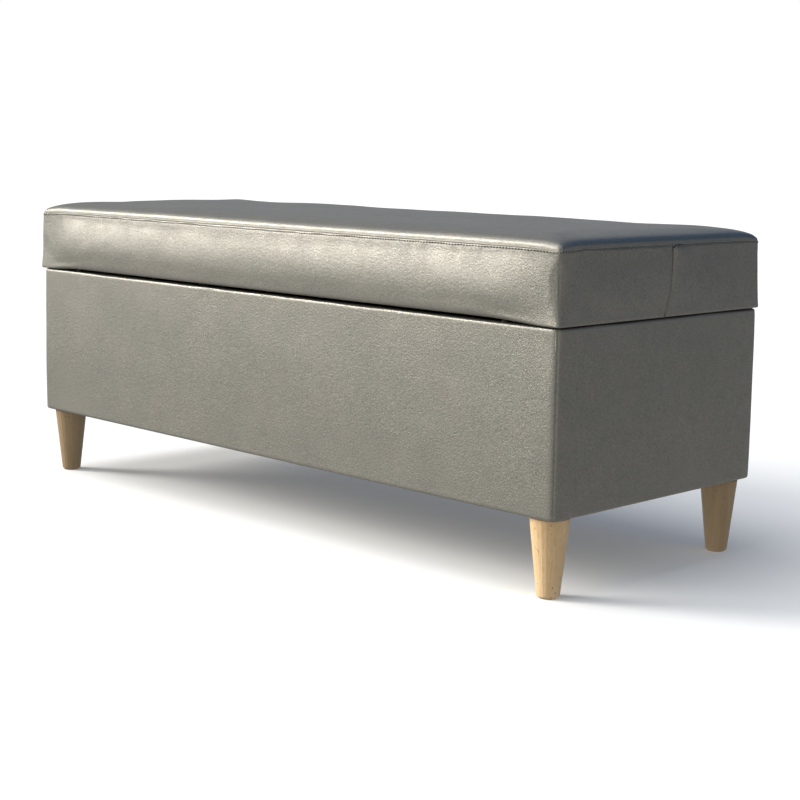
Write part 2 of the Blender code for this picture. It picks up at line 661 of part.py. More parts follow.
def build_stay_bracket(name, across, top):
    """Bent bracket under the lid: a flange with an ear that hangs beside the arm."""
    ear_inner = ARM_OUTER + SIDE_PLAY
    ear_outer = ear_inner + PLATE_STEEL
    front_y, rear_y = top.y - BRACKET_HALF_WIDTH, top.y + BRACKET_HALF_WIDTH
    flange_top = LID_LINING_TOP - LID_LINING - GAP
    low_x, high_x = across(ear_outer, ear_outer - BRACKET_FLANGE)
    low, high = (low_x, front_y, flange_top - PLATE_STEEL), (high_x, rear_y, flange_top)
    bracket = make_box(f"stay_bracket_{name}", low, high, "zinc_steel", LID_PIVOT)

    low_x, high_x = across(ear_outer, ear_inner)
    ear = box_mesh((low_x, front_y, top.z - EAR_BELOW_PIVOT), (high_x, rear_y, flange_top - WELD))
    along_x = [edge for edge in ear.edges if abs(edge.verts[0].co.x - edge.verts[1].co.x) > PLATE_STEEL / 2]
    lower = [edge for edge in along_x if edge.verts[0].co.z < top.z]
    bmesh.ops.bevel(ear, geom=lower, offset=EAR_CORNER, segments=CORNER_STEPS, profile=0.5, affect="EDGES")
    cut(bracket, ear, f"stay_ear_{name}", operation="UNION")
    hole = across(ear_outer + PLATE_STEEL, ear_inner - PLATE_STEEL)
    drill(bracket, f"stay_ear_hole_{name}", [(0, top.y, top.z)], PIN_HOLE, *hole, "X")


def build_stay_rivet(name, across, top):
    """Rivet through the bracket's ear and the arm, with a head at each end."""
    outer = ARM_OUTER + SIDE_PLAY + PLATE_STEEL + GAP
    inner = ARM_OUTER - PLATE_STEEL - GAP
    shank = rods_mesh([(0, top.y, top.z)], "X", PIN_RADIUS, PIN_RADIUS, *across(outer + GAP, inner - GAP))
    rivet = make_object(f"stay_rivet_{name}", shank, "zinc_steel", LID_PIVOT)
    heads = [("outer", across(outer, outer + COVER)), ("inner", across(inner, inner - HEAD_THICKNESS))]
    for label, ends in heads:
        head = rods_mesh([(0, top.y, top.z)], "X", HEAD_RADIUS, HEAD_RADIUS, *ends)
        cut(rivet, head, f"rivet_{label}_head_{name}", operation="UNION")


def build_stay_arm(name, side, top, stud):
    """Slotted arm, whose origin is on its pivot; its slot ends stop the lid where it is fully open."""
    closed_reach = (stud - top).length
    open_reach = 2 * STAY_REACH * math.sin((STAY_START + LID_OPENS) / 2)
    lean = math.atan2(stud.y - top.y, top.z - stud.z)
    place = (side * (ARM_OUTER - PLATE_STEEL / 2), top.y, top.z)
    pivot = make_pivot(f"stay_pivot_{name}", place, LID_PIVOT)
    bar = bar_mesh(open_reach + ARM_END, ARM_HALF_WIDTH, PLATE_STEEL)
    arm = make_object(f"stay_arm_{name}", bar, "zinc_steel", pivot, place, lean)
    slot_start = closed_reach - SLOT_SPARE
    slot = bar_mesh(open_reach + SLOT_STOP - slot_start, PIN_HOLE, 4 * PLATE_STEEL)
    bmesh.ops.translate(slot, vec=(0, 0, -slot_start), verts=slot.verts)
    cut(arm, slot, f"stay_slot_{name}", place, lean)
    drill(arm, f"stay_arm_hole_{name}", [place], PIN_HOLE, -2 * PLATE_STEEL, 2 * PLATE_STEEL, "X")


def build_stay(side, name):
    """One sliding stay: plate and stud on the box, bracket and rivet on the lid, arm between them."""

    def across(outer, inner):
        """A stretch along X on this side, in rising order."""
        return sorted((side * outer, side * inner))

    top, stud = stay_point(STAY_DIP), stay_point(STAY_DIP + STAY_START)
    build_stud_plate(name, across, stud)
    build_stay_bracket(name, across, top)
    build_stay_rivet(name, across, top)
    build_stay_arm(name, side, top, stud)


# ---------------------------------------------------------------- the bench

clear_scene()
PARTS = make_collection("storage_bench")
CUTTERS = make_collection("cutters")
MATERIALS = {name: make_material(name, *finish) for name, finish in FINISHES.items()}
LID_PIVOT = make_pivot("lid_pivot", PIVOT)

build_panels()
build_corner_posts()
build_padding()
build_base_cover()
build_linings()
build_legs()
build_bumpers()
build_lid_core()
build_lid_cover()
build_lid_lining()
build_hinge()
build_stay(-1, "left")
build_stay(1, "right")
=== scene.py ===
"""Looks of the storage bench: sewn faux-leather covers, stitches, linings, wood, steel and the studio."""

import json
import math

import bmesh
import bpy
import numpy as np
from mathutils import Matrix, Vector, noise
from mathutils.bvhtree import BVHTree


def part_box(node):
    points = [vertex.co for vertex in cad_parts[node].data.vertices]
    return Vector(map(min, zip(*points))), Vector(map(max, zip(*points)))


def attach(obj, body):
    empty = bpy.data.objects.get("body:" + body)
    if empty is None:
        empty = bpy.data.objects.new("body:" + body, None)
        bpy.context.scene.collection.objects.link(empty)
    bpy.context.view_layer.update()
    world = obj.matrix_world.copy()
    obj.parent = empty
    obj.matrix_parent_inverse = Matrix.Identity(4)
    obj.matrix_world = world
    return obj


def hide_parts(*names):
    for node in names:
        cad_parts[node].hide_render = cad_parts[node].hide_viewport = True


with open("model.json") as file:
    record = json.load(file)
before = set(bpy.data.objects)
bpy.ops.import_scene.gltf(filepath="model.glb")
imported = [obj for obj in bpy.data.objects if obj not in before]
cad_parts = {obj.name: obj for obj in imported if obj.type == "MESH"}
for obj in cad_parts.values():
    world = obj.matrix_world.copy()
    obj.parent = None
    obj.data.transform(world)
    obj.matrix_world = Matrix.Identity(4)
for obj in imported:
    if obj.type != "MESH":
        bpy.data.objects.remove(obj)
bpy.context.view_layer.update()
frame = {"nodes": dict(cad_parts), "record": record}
NODES = frame["nodes"]

# Sizes that the frame gives
COVER_LOW, COVER_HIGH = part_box("base_cover")
BAND_LOW, BAND_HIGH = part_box("lid_band_front")
REAR_LOW, REAR_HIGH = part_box("lid_band_rear")
TOP_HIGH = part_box("lid_top_cover")[1]
BOARD_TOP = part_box("lid_board")[1].z
LINING_LOW, LINING_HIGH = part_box("storage_lining")
LID_LOW = Vector(BAND_LOW)
LID_HIGH = Vector((BAND_HIGH.x, REAR_HIGH.y, TOP_HIGH.z))
SEAM_Z = BAND_HIGH.z
END_SEAM_Y = (BAND_HIGH.y + REAR_LOW.y) / 2

# How near two places are taken as one
TOUCH = 1e-6

# Sewing and upholstery; a stitch's and a painted needle-hole shade bead's half sizes are along the row, outward
# and upright
LEATHER = 0.0012
STITCH_PITCH = 0.0054
STITCH_DROP = 0.0019
STITCH_PROUD = 0.0004
SEARCH_FROM = 0.004
STITCH_SIZES = (0.0019, 0.00045, 0.00050)
HOLE_SHADE_SIZES = (0.00125, 0.00055, 0.00120)
LID_HEM = 0.030
BASE_HEM = 0.024
RIM_PLAY = 0.0015
RIM_WIDTH = COVER_HIGH.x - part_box("right_end_panel")[0].x + RIM_PLAY

# Viewpoint: metres, degrees and millimetres of lens
CAMERA_PLACE = Vector((1.939, -1.838, 0.600))
CAMERA_YAW = math.radians(45.29)
CAMERA_PITCH = math.radians(6.89)
CAMERA_ROLL = math.radians(0.91)
CAMERA_LENS = 73.8
CAMERA_SHIFT = -0.075


# ---- node materials


def set_inputs(node, **values):
    """Sets a node's inputs by name, with _ for a space."""
    for name, value in values.items():
        node.inputs[name.replace("_", " ")].default_value = value


class Shader:
    """A material's node tree, with short calls for the nodes that these materials use."""

    def __init__(self, name):
        self.material = bpy.data.materials.new(name)
        self.material.use_nodes = True
        self.nodes = self.material.node_tree.nodes
        self.links = self.material.node_tree.links
        self.surface = self.nodes["Principled BSDF"]
        self.place = self.node("ShaderNodeTexCoord").outputs["Object"]

    def node(self, kind, **settings):
        made = self.nodes.new(kind)
        for key, value in settings.items():
            setattr(made, key, value)
        return made

    def feed(self, target, source):
        """Sets a socket to a value, or links another socket to it."""
        if isinstance(source, bpy.types.NodeSocket):
            self.links.new(source, target)
        else:
            target.default_value = source

    def stretched(self, scale, turn=(0, 0, 0)):
        mapping = self.node("ShaderNodeMapping")
        self.feed(mapping.inputs["Vector"], self.place)
        set_inputs(mapping, Scale=scale, Rotation=turn)
        return mapping.outputs["Vector"]

    def noise(self, scale, detail=2.0, roughness=0.5, vector=None, distortion=0.0):
        made = self.node("ShaderNodeTexNoise")
        self.feed(made.inputs["Vector"], vector or self.place)
        set_inputs(made, Scale=scale, Detail=detail, Roughness=roughness, Distortion=distortion)
        return made.outputs["Fac"]

    def cells(self, scale, feature="F1", vector=None):
        made = self.node("ShaderNodeTexVoronoi", feature=feature)
        self.feed(made.inputs["Vector"], vector or self.place)
        set_inputs(made, Scale=scale)
        return made.outputs["Distance"]

    def wave(self, scale, vector=None, direction="X"):
        made = self.node("ShaderNodeTexWave", bands_direction=direction)
        self.feed(made.inputs["Vector"], vector or self.place)
        set_inputs(made, Scale=scale)
        return made.outputs["Fac"]

    def maths(self, operation, first, second=0.0):
        made = self.node("ShaderNodeMath", operation=operation)
        self.feed(made.inputs[0], first)
        self.feed(made.inputs[1], second)
        return made.outputs["Value"]

    def spread(self, value, low, high, to_low, to_high):
        made = self.node("ShaderNodeMapRange")
        self.feed(made.inputs["Value"], value)
        set_inputs(made, From_Min=low, From_Max=high, To_Min=to_low, To_Max=to_high)
        return made.outputs["Result"]

    def ramp(self, value, colours):
        made = self.node("ShaderNodeValToRGB")
        self.feed(made.inputs["Fac"], value)
        elements = made.color_ramp.elements
        while len(elements) < len(colours):
            elements.new(0.5)
        for element, (position, colour) in zip(elements, colours):
            element.position = position
            element.color = (*colour, 1)
        return made.outputs["Color"]

    def mix(self, factor, first, second):
        made = self.node("ShaderNodeMix", data_type="RGBA")
        self.feed(made.inputs["Factor"], factor)
        for socket, colour in ((made.inputs[6], first), (made.inputs[7], second)):
            self.feed(socket, colour if isinstance(colour, bpy.types.NodeSocket) else (*colour, 1))
        return made.outputs[2]

    def bump(self, height, strength, distance, normal=None):
        made = self.node("ShaderNodeBump")
        self.feed(made.inputs["Height"], height)
        set_inputs(made, Strength=strength, Distance=distance)
        if normal is not None:
            self.links.new(normal, made.inputs["Normal"])
        return made.outputs["Normal"]

    def finish(self, colour, roughness, normal=None, **constants):
        self.feed(self.surface.inputs["Base Color"], (*colour, 1) if isinstance(colour, tuple) else colour)
        self.feed(self.surface.inputs["Roughness"], roughness)
        if normal is not None:
            self.links.new(normal, self.surface.inputs["Normal"])
        set_inputs(self.surface, **constants)
        return self.material


def faux_leather():
    """Pearl grey-brown polyurethane leather with an embossed pebble grain, and painted shade darkening the
    grain's creases.
    """
    shader = Shader("pearl_faux_leather")
    pebbles = shader.cells(620, "SMOOTH_F1")
    creases = shader.cells(560, "DISTANCE_TO_EDGE")
    dust = shader.noise(1500, 2)
    soft = shader.noise(9, 3, 0.55)
    cloud = shader.noise(48, 4, 0.6)
    tone = shader.ramp(soft, [(0.30, (0.275, 0.270, 0.243)), (0.70, (0.315, 0.299, 0.270))])
    tone = shader.mix(shader.spread(cloud, 0.35, 0.70, 0.0, 0.35), tone, (0.255, 0.247, 0.22))
    # Painted shade: the grain's creases are darkened in colour, where the bump already sinks them
    crease_shade = shader.spread(creases, 0.0, 0.12, 0.35, 0.0)
    tone = shader.mix(crease_shade, tone, (0.12, 0.115, 0.105))
    speckle = shader.noise(430, 2, 0.6)
    tone = shader.mix(shader.spread(speckle, 0.42, 0.66, 0.0, 0.55), tone, (0.15, 0.145, 0.13))
    worn = shader.spread(cloud, 0.3, 0.7, 0.36, 0.44)
    rough = shader.maths("ADD", worn, shader.spread(dust, 0.3, 0.7, -0.03, 0.03))
    flats = shader.spread(creases, 0.0, 0.16, 0.0, 1.0)
    grain = shader.maths("SUBTRACT", flats, shader.maths("MULTIPLY", pebbles, 0.9))
    lumps = shader.noise(330, 1, 0.5)
    normal = shader.bump(grain, 0.40, 0.00026)
    normal = shader.bump(lumps, 0.50, 0.00050, normal)
    normal = shader.bump(dust, 0.25, 0.00010, normal)
    return shader.finish(tone, rough, normal, Metallic=0.72, Coat_Weight=0.08, Coat_Roughness=0.32)


def thread():
    """Twisted polyester thread."""
    shader = Shader("sewing_thread")
    twist = shader.wave(900, shader.stretched((1, 1, 1.4), (0, 0.6, 0.4)))
    tone = shader.ramp(twist, [(0.2, (0.22, 0.21, 0.185)), (0.8, (0.40, 0.38, 0.34))])
    return shader.finish(tone, shader.spread(twist, 0, 1, 0.5, 0.7), shader.bump(twist, 0.6, 0.0002))


def needle_hole_shade():
    """Painted shade: the dark of the dimple round a needle hole, as the colour of a small bead on the leather."""
    shader = Shader("needle_hole_shade")
    fleck = shader.noise(900, 2)
    tone = shader.ramp(fleck, [(0.3, (0.030, 0.027, 0.022)), (0.7, (0.055, 0.05, 0.042))])
    return shader.finish(tone, shader.spread(fleck, 0.3, 0.7, 0.7, 0.9), shader.bump(fleck, 0.3, 0.0001))


def beech(name, depth):
    """Turned beech, with fine grain up the leg and short dark flecks; depth scales its tone as painted light:
    below 1 darkens it as painted shade, above 1 paints it lit.
    """
    shader = Shader(name)
    along = shader.stretched((1, 1, 0.10))
    rings = shader.noise(46, 4, 0.6, along, 0.6)
    pores = shader.noise(900, 2, 0.5, shader.stretched((1, 1, 0.06)))
    flecks = shader.cells(240, "F1", shader.stretched((1, 1, 0.36)))
    patch = shader.noise(28, 2)
    shades = [(0.30, (0.44, 0.295, 0.155)), (0.52, (0.52, 0.365, 0.20)), (0.72, (0.58, 0.42, 0.245))]
    tone = shader.ramp(rings, [(stop, tuple(depth * part for part in colour)) for stop, colour in shades])
    tone = shader.mix(shader.spread(pores, 0.52, 0.72, 0.0, 0.35), tone, (0.33, 0.20, 0.10))
    spots = shader.spread(flecks, 0.10, 0.19, 1.0, 0.0)
    spots = shader.maths("MULTIPLY", spots, shader.spread(patch, 0.48, 0.58, 0, 1))
    tone = shader.mix(shader.maths("MULTIPLY", spots, 0.85), tone, (0.17, 0.085, 0.035))
    rough = shader.spread(rings, 0.3, 0.7, 0.42, 0.56)
    normal = shader.bump(pores, 0.25, 0.0002)
    return shader.finish(tone, rough, normal, Coat_Weight=0.12, Coat_Roughness=0.35)


def plain_wood(name, light, dark, scale, ply=False):
    """Sawn wood or plywood; plywood's edges show its layers as bands up the board's thickness."""
    shader = Shader(name)
    along = shader.stretched((0.07, 1, 1))
    grain = shader.noise(scale, 5, 0.6, along, 0.8)
    fibre = shader.noise(1100, 2, 0.5, shader.stretched((0.03, 1, 1)))
    tone = shader.ramp(grain, [(0.30, dark), (0.70, light)])
    tone = shader.mix(shader.spread(fibre, 0.45, 0.7, 0.0, 0.4), tone, tuple(0.7 * c for c in dark))
    if ply:
        layers = shader.wave(105, shader.place, "Z")
        tone = shader.mix(shader.spread(layers, 0.60, 0.72, 0.0, 0.25), tone, tuple(0.55 * c for c in dark))
    return shader.finish(tone, shader.spread(grain, 0.3, 0.7, 0.6, 0.78), shader.bump(fibre, 0.4, 0.0003))


def zinc_steel():
    """Zinc-plated steel: bright, faintly yellow, with spangle and rolling marks."""
    shader = Shader("zinc_plated_steel")
    spangle = shader.cells(190)
    marks = shader.noise(500, 3, 0.6, shader.stretched((0.05, 1, 1)))
    tone = shader.ramp(spangle, [(0.0, (0.60, 0.60, 0.58)), (0.6, (0.72, 0.71, 0.67))])
    rough = shader.spread(marks, 0.3, 0.7, 0.24, 0.38)
    rough = shader.maths("ADD", rough, shader.spread(spangle, 0, 0.6, 0.0, 0.06))
    return shader.finish(tone, rough, shader.bump(marks, 0.2, 0.0001), Metallic=1.0)


def moulded(name, colour, roughness):
    """Rubber or nylon with a fine moulded texture."""
    shader = Shader(name)
    speckle = shader.noise(1600, 2)
    wear = shader.noise(60, 3, 0.6)
    tone = shader.mix(shader.spread(wear, 0.4, 0.7, 0.0, 0.5), colour, tuple(1.6 * c + 0.01 for c in colour))
    rough = shader.spread(wear, 0.3, 0.7, roughness - 0.08, roughness + 0.08)
    return shader.finish(tone, rough, shader.bump(speckle, 0.3, 0.0001))


def black_cloth():
    """Spun-bonded lining cloth: matt black fibres pressed into a small square emboss."""
    shader = Shader("black_lining_cloth")
    fibres = shader.noise(1400, 4, 0.7, None, 1.5)
    rows = shader.maths("MULTIPLY", shader.wave(420, None, "X"), shader.wave(420, None, "Y"))
    rows = shader.maths("ADD", rows, shader.wave(420, None, "Z"))
    lint = shader.noise(35, 3)
    tone = shader.ramp(fibres, [(0.3, (0.012, 0.012, 0.013)), (0.8, (0.045, 0.045, 0.047))])
    tone = shader.mix(shader.spread(lint, 0.5, 0.75, 0.0, 0.4), tone, (0.05, 0.05, 0.052))
    height = shader.maths("ADD", shader.maths("MULTIPLY", rows, 0.5), fibres)
    rough = shader.spread(fibres, 0.3, 0.8, 0.82, 0.98)
    return shader.finish(tone, rough, shader.bump(height, 0.6, 0.0004), Sheen_Weight=0.15)


def soft_filling(name, light, dark, scale):
    """Foam or wadding, with painted shade darkening its pores."""
    shader = Shader(name)
    pores = shader.cells(scale)
    # Painted shade: the pores are darker, where the bump sinks them
    tone = shader.ramp(pores, [(0.1, dark), (0.6, light)])
    rough = shader.spread(pores, 0, 0.6, 0.88, 1.0)
    return shader.finish(tone, rough, shader.bump(pores, 0.7, 0.0006))


MATERIALS = {
    "faux_leather": faux_leather(),
    "thread": thread(),
    # Painted shade of the needle holes, for the dark beads between the stitches
    "hole_shade": needle_hole_shade(),
    # Two copies of one beech with painted light: browner for the parts painted in shade, paler for the front
    # right leg painted lit
    "beech": beech("beech_with_painted_shade", 0.66),
    "beech_painted_lit": beech("beech_with_painted_light", 1.50),
    "plywood": plain_wood("birch_plywood", (0.66, 0.52, 0.34), (0.50, 0.36, 0.21), 34, ply=True),
    "softwood": plain_wood("pine", (0.74, 0.58, 0.37), (0.58, 0.40, 0.22), 60),
    "zinc_steel": zinc_steel(),
    "rubber": moulded("black_rubber", (0.022, 0.022, 0.022), 0.72),
    "nylon": moulded("dark_nylon", (0.16, 0.14, 0.12), 0.5),
    "black_cloth": black_cloth(),
    "foam": soft_filling("cream_foam", (0.84, 0.80, 0.66), (0.60, 0.55, 0.42), 700),
    "wadding": soft_filling("white_wadding", (0.88, 0.88, 0.86), (0.70, 0.70, 0.68), 420),
}


# ---- mesh helpers


def stops(length, border, pitch):
    """Places from 0 to a length: at the border's distances from both ends, and evenly between them."""
    border = np.array(border)
    count = max(2, round((length - 2 * border[-1]) / pitch))
    middle = np.linspace(border[-1], length - border[-1], count + 1)[1:-1]
    return np.concatenate([border, middle, length - border[::-1]])


def grid_box(xs, ys, zs):
    """A box whose faces are grids, with grid lines at these places along each axis."""
    mesh = bmesh.new()
    bmesh.ops.create_cube(mesh, size=1)
    bmesh.ops.translate(mesh, vec=(0.5, 0.5, 0.5), verts=mesh.verts)
    for axis, places in enumerate((xs, ys, zs)):
        along = [e for e in mesh.edges if abs(e.verts[0].co[axis] - e.verts[1].co[axis]) > 0.9]
        bmesh.ops.subdivide_edges(mesh, edges=along, cuts=len(places) - 2, use_grid_fill=True)
    for vert in mesh.verts:
        for axis, places in enumerate((xs, ys, zs)):
            index = min(round(vert.co[axis] * (len(places) - 1)), len(places) - 1)
            vert.co[axis] = places[index]
    return mesh


def inward_reach(points, half_x, half_y, centre_y):
    """Each point's distances in from a rectangle's ends and from its long sides."""
    return half_x - np.abs(points[:, 0]), half_y - np.abs(points[:, 1] - centre_y)


def open_inside(mesh, chosen, half_x, half_y, centre_y, width):
    """Removes the faces that chosen picks by their normal, except within a width of the rectangle's edge."""
    inside = []
    for face in mesh.faces:
        centre = face.calc_center_median()
        deep = min(half_x - abs(centre.x), half_y - abs(centre.y - centre_y)) > width
        if chosen(face.normal) and deep:
            inside.append(face)
    bmesh.ops.delete(mesh, geom=inside, context="FACES")


def points_of(mesh):
    return np.array([vert.co for vert in mesh.verts])


def move_points(mesh, points):
    for vert, point in zip(mesh.verts, points):
        vert.co = point


def make_piece(name, mesh, material, body):
    """Turns a bmesh into a shaded piece that rides on a body."""
    data = bpy.data.meshes.new(name)
    if isinstance(mesh, bmesh.types.BMesh):
        mesh.to_mesh(data)
        mesh.free()
    else:
        data = mesh
        data.name = name
    data.materials.clear()
    data.materials.append(MATERIALS[material])
    data.shade_smooth()
    piece = bpy.data.objects.new(name, data)
    bpy.context.scene.collection.objects.link(piece)
    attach(piece, body)
    return piece


def add_modifier(piece, kind, **settings):
    modifier = piece.modifiers.new(kind.lower(), kind)
    for key, value in settings.items():
        setattr(modifier, key, value)
    return modifier


def freeze(piece):
    """Applies the piece's modifiers."""
    bpy.context.view_layer.update()
    result = bpy.data.meshes.new_from_object(piece.evaluated_get(bpy.context.evaluated_depsgraph_get()))
    piece.modifiers.clear()
    piece.data = result


def thicken(piece, thickness, edges="PRESERVE_CORNERS"):
    """Smooths a sheet once and gives it its thickness, inwards."""
    add_modifier(piece, "SUBSURF", levels=1, render_levels=1, boundary_smooth=edges)
    add_modifier(piece, "SOLIDIFY", thickness=thickness, offset=-1)
    freeze(piece)


def raise_ring(mesh, ring, rise):
    """Extrudes a ring of edges straight up by a rise, and gives the new ring."""
    made = bmesh.ops.extrude_edge_only(mesh, edges=ring)["geom"]
    new = [part for part in made if isinstance(part, bmesh.types.BMVert)]
    bmesh.ops.translate(mesh, vec=(0, 0, rise), verts=new)
    return [part for part in made if isinstance(part, bmesh.types.BMEdge)]


def bell(value, width):
    """1 at zero, fading to nothing within a few widths."""
    return np.exp(-((value / width) ** 2))


def rolled(value, width):
    """How far a padded edge has risen, from 0 to 1, at a distance in from the edge."""
    inward = np.clip(value / width, 0, 1)
    return (1 - (1 - inward) ** ROLL_FULLNESS) ** (1 / ROLL_FULLNESS)


def roll_places(width, rise, inset):
    """Where a point ends up in plan if its inset is measured along the rolled surface."""
    across = width * np.linspace(0, 1, ROLL_SAMPLES) ** 3
    up = rise * rolled(across, width)
    length = np.concatenate([[0], np.cumsum(np.hypot(np.diff(across), np.diff(up)))])
    near_edge = np.interp(inset, length * width / length[-1], across, right=0)
    return near_edge + np.maximum(inset - width, 0) + np.where(inset > width, width, 0)


def bumpy(points, scale, seed):
    """Smooth noise about zero at each point."""
    shift = Vector((seed * 7.13, seed * 3.71, seed * 5.97))
    return np.array([noise.noise(Vector(point) * scale + shift) for point in points])


def round_corners(points, half_x, half_y, centre_y, radius):
    """Bends square plan corners to a radius, which may differ from point to point."""
    x, y = points[:, 0], points[:, 1] - centre_y
    inner_x = np.clip(x, radius - half_x, half_x - radius)
    inner_y = np.clip(y, radius - half_y, half_y - radius)
    dx, dy = x - inner_x, y - inner_y
    reach = np.maximum(np.abs(dx), np.abs(dy))
    length = np.hypot(dx, dy)
    scale = np.where(length > 1e-9, reach / np.maximum(length, 1e-9), 1)
    points[:, 0] = inner_x + dx * scale
    points[:, 1] = inner_y + dy * scale + centre_y
    return points


def plan_normals(points, half_x, half_y, centre_y, radius):
    """Outward directions in plan of the walls of a round-cornered box."""
    x, y = points[:, 0], points[:, 1] - centre_y
    dx = x - np.clip(x, radius - half_x, half_x - radius)
    dy = y - np.clip(y, radius - half_y, half_y - radius)
    length = np.maximum(np.hypot(dx, dy), 1e-9)
    return np.stack([dx / length, dy / length, np.zeros(len(points))], axis=1)


# ---- lid cover

LID_CENTRE_Y = (LID_LOW.y + LID_HIGH.y) / 2
LID_HALF_X = LID_HIGH.x
LID_HALF_Y = (LID_HIGH.y - LID_LOW.y) / 2
LID_PLAN = (LID_HALF_X, LID_HALF_Y, LID_CENTRE_Y)

# The crown's rolled edge
CROWN_SHARE = 0.91
LID_RISE = (TOP_HIGH.z - SEAM_Z) * CROWN_SHARE
ROLL_WIDTH = 0.070
ROLL_FULLNESS = 3.1
ROLL_SAMPLES = 400
CORNER_DIP = 0.0020
DIP_REACH = 0.035

# The sides: plan corners, bulge and lean
CORNER_TIGHT = 0.0055
NEAR_SLACK = 0.018
OTHER_SLACK = 0.0015
SEAM_SLACK = 0.003
UNDER_RADIUS = 0.006
NORMAL_RADIUS = 0.0062
SLACK_SHAPE = 0.9
BULGE_SHAPE = 0.8
BULGE_FADE = 0.11
FRONT_BULGE = 0.0065
END_BULGE = 0.0024
LID_LEAN = 0.0027

# The lower edge
BOTTOM_RADIUS = 0.0034
EDGE_SAG = 0.0031
EDGE_ARCH = 0.0016
SAG_START = 0.02
SAG_REACH = 0.06

# The pull of the seam, of the stitches and of the upright seam on each end
SEAM_PULL = 0.0005
SEAM_REACH = 0.0022
STITCH_PULL = 0.0006
STITCH_REACH = 0.002
END_SEAM_SWEEP = -0.018
END_SEAM_SHIFT = -0.017
END_SEAM_BELLY = 0.003
SWEEP_SHAPE = 1.7
SWEEP_REACH = 0.15
FOLD_DEPTH, FOLD_PLACE, FOLD_WIDTH = 0.0034, 0.0068, 0.0036
GROOVE_DEPTH, GROOVE_WIDTH = 0.0036, 0.0022

# Grid lines: inward from the lid's edges, beside the end seam, up from the lower edge, down from the seam
LID_BORDER = [0, 0.0025, 0.005, 0.008, 0.0115, 0.0155, 0.020, 0.025, LID_HEM, 0.037, 0.045, 0.054]
LID_PITCH = 0.0105
END_SEAM_LINES = np.array([-0.0125, -0.006, -0.0025, 0, 0.0025, 0.005, 0.0075, 0.0125])
END_SEAM_CLEAR = 0.017
ABOVE_HEM = [0, 0.002, 0.004, 0.0065, 0.0105]
BELOW_SEAM = [0, STITCH_DROP, 0.0048, 0.0090, 0.0145, 0.0205]
SIDE_ROWS = 9


def lid_cage():
    """The lid's cover as a box of grids, still square, with its underside open inside the hem."""
    xs = stops(2 * LID_HALF_X, LID_BORDER, LID_PITCH) - LID_HALF_X
    ys = stops(2 * LID_HALF_Y, LID_BORDER, LID_PITCH) + LID_LOW.y
    ys = np.sort(np.concatenate([ys[np.abs(ys - END_SEAM_Y) > END_SEAM_CLEAR], END_SEAM_Y + END_SEAM_LINES]))
    height = SEAM_Z - LID_LOW.z
    middle = np.linspace(ABOVE_HEM[-1], height - BELOW_SEAM[-1], SIDE_ROWS)[1:-1]
    zs = np.concatenate([ABOVE_HEM, middle, height - np.array(BELOW_SEAM[::-1])]) + LID_LOW.z
    mesh = grid_box(xs, ys, zs)
    open_inside(mesh, lambda normal: normal.z < -0.9, *LID_PLAN, LID_HEM)
    return mesh


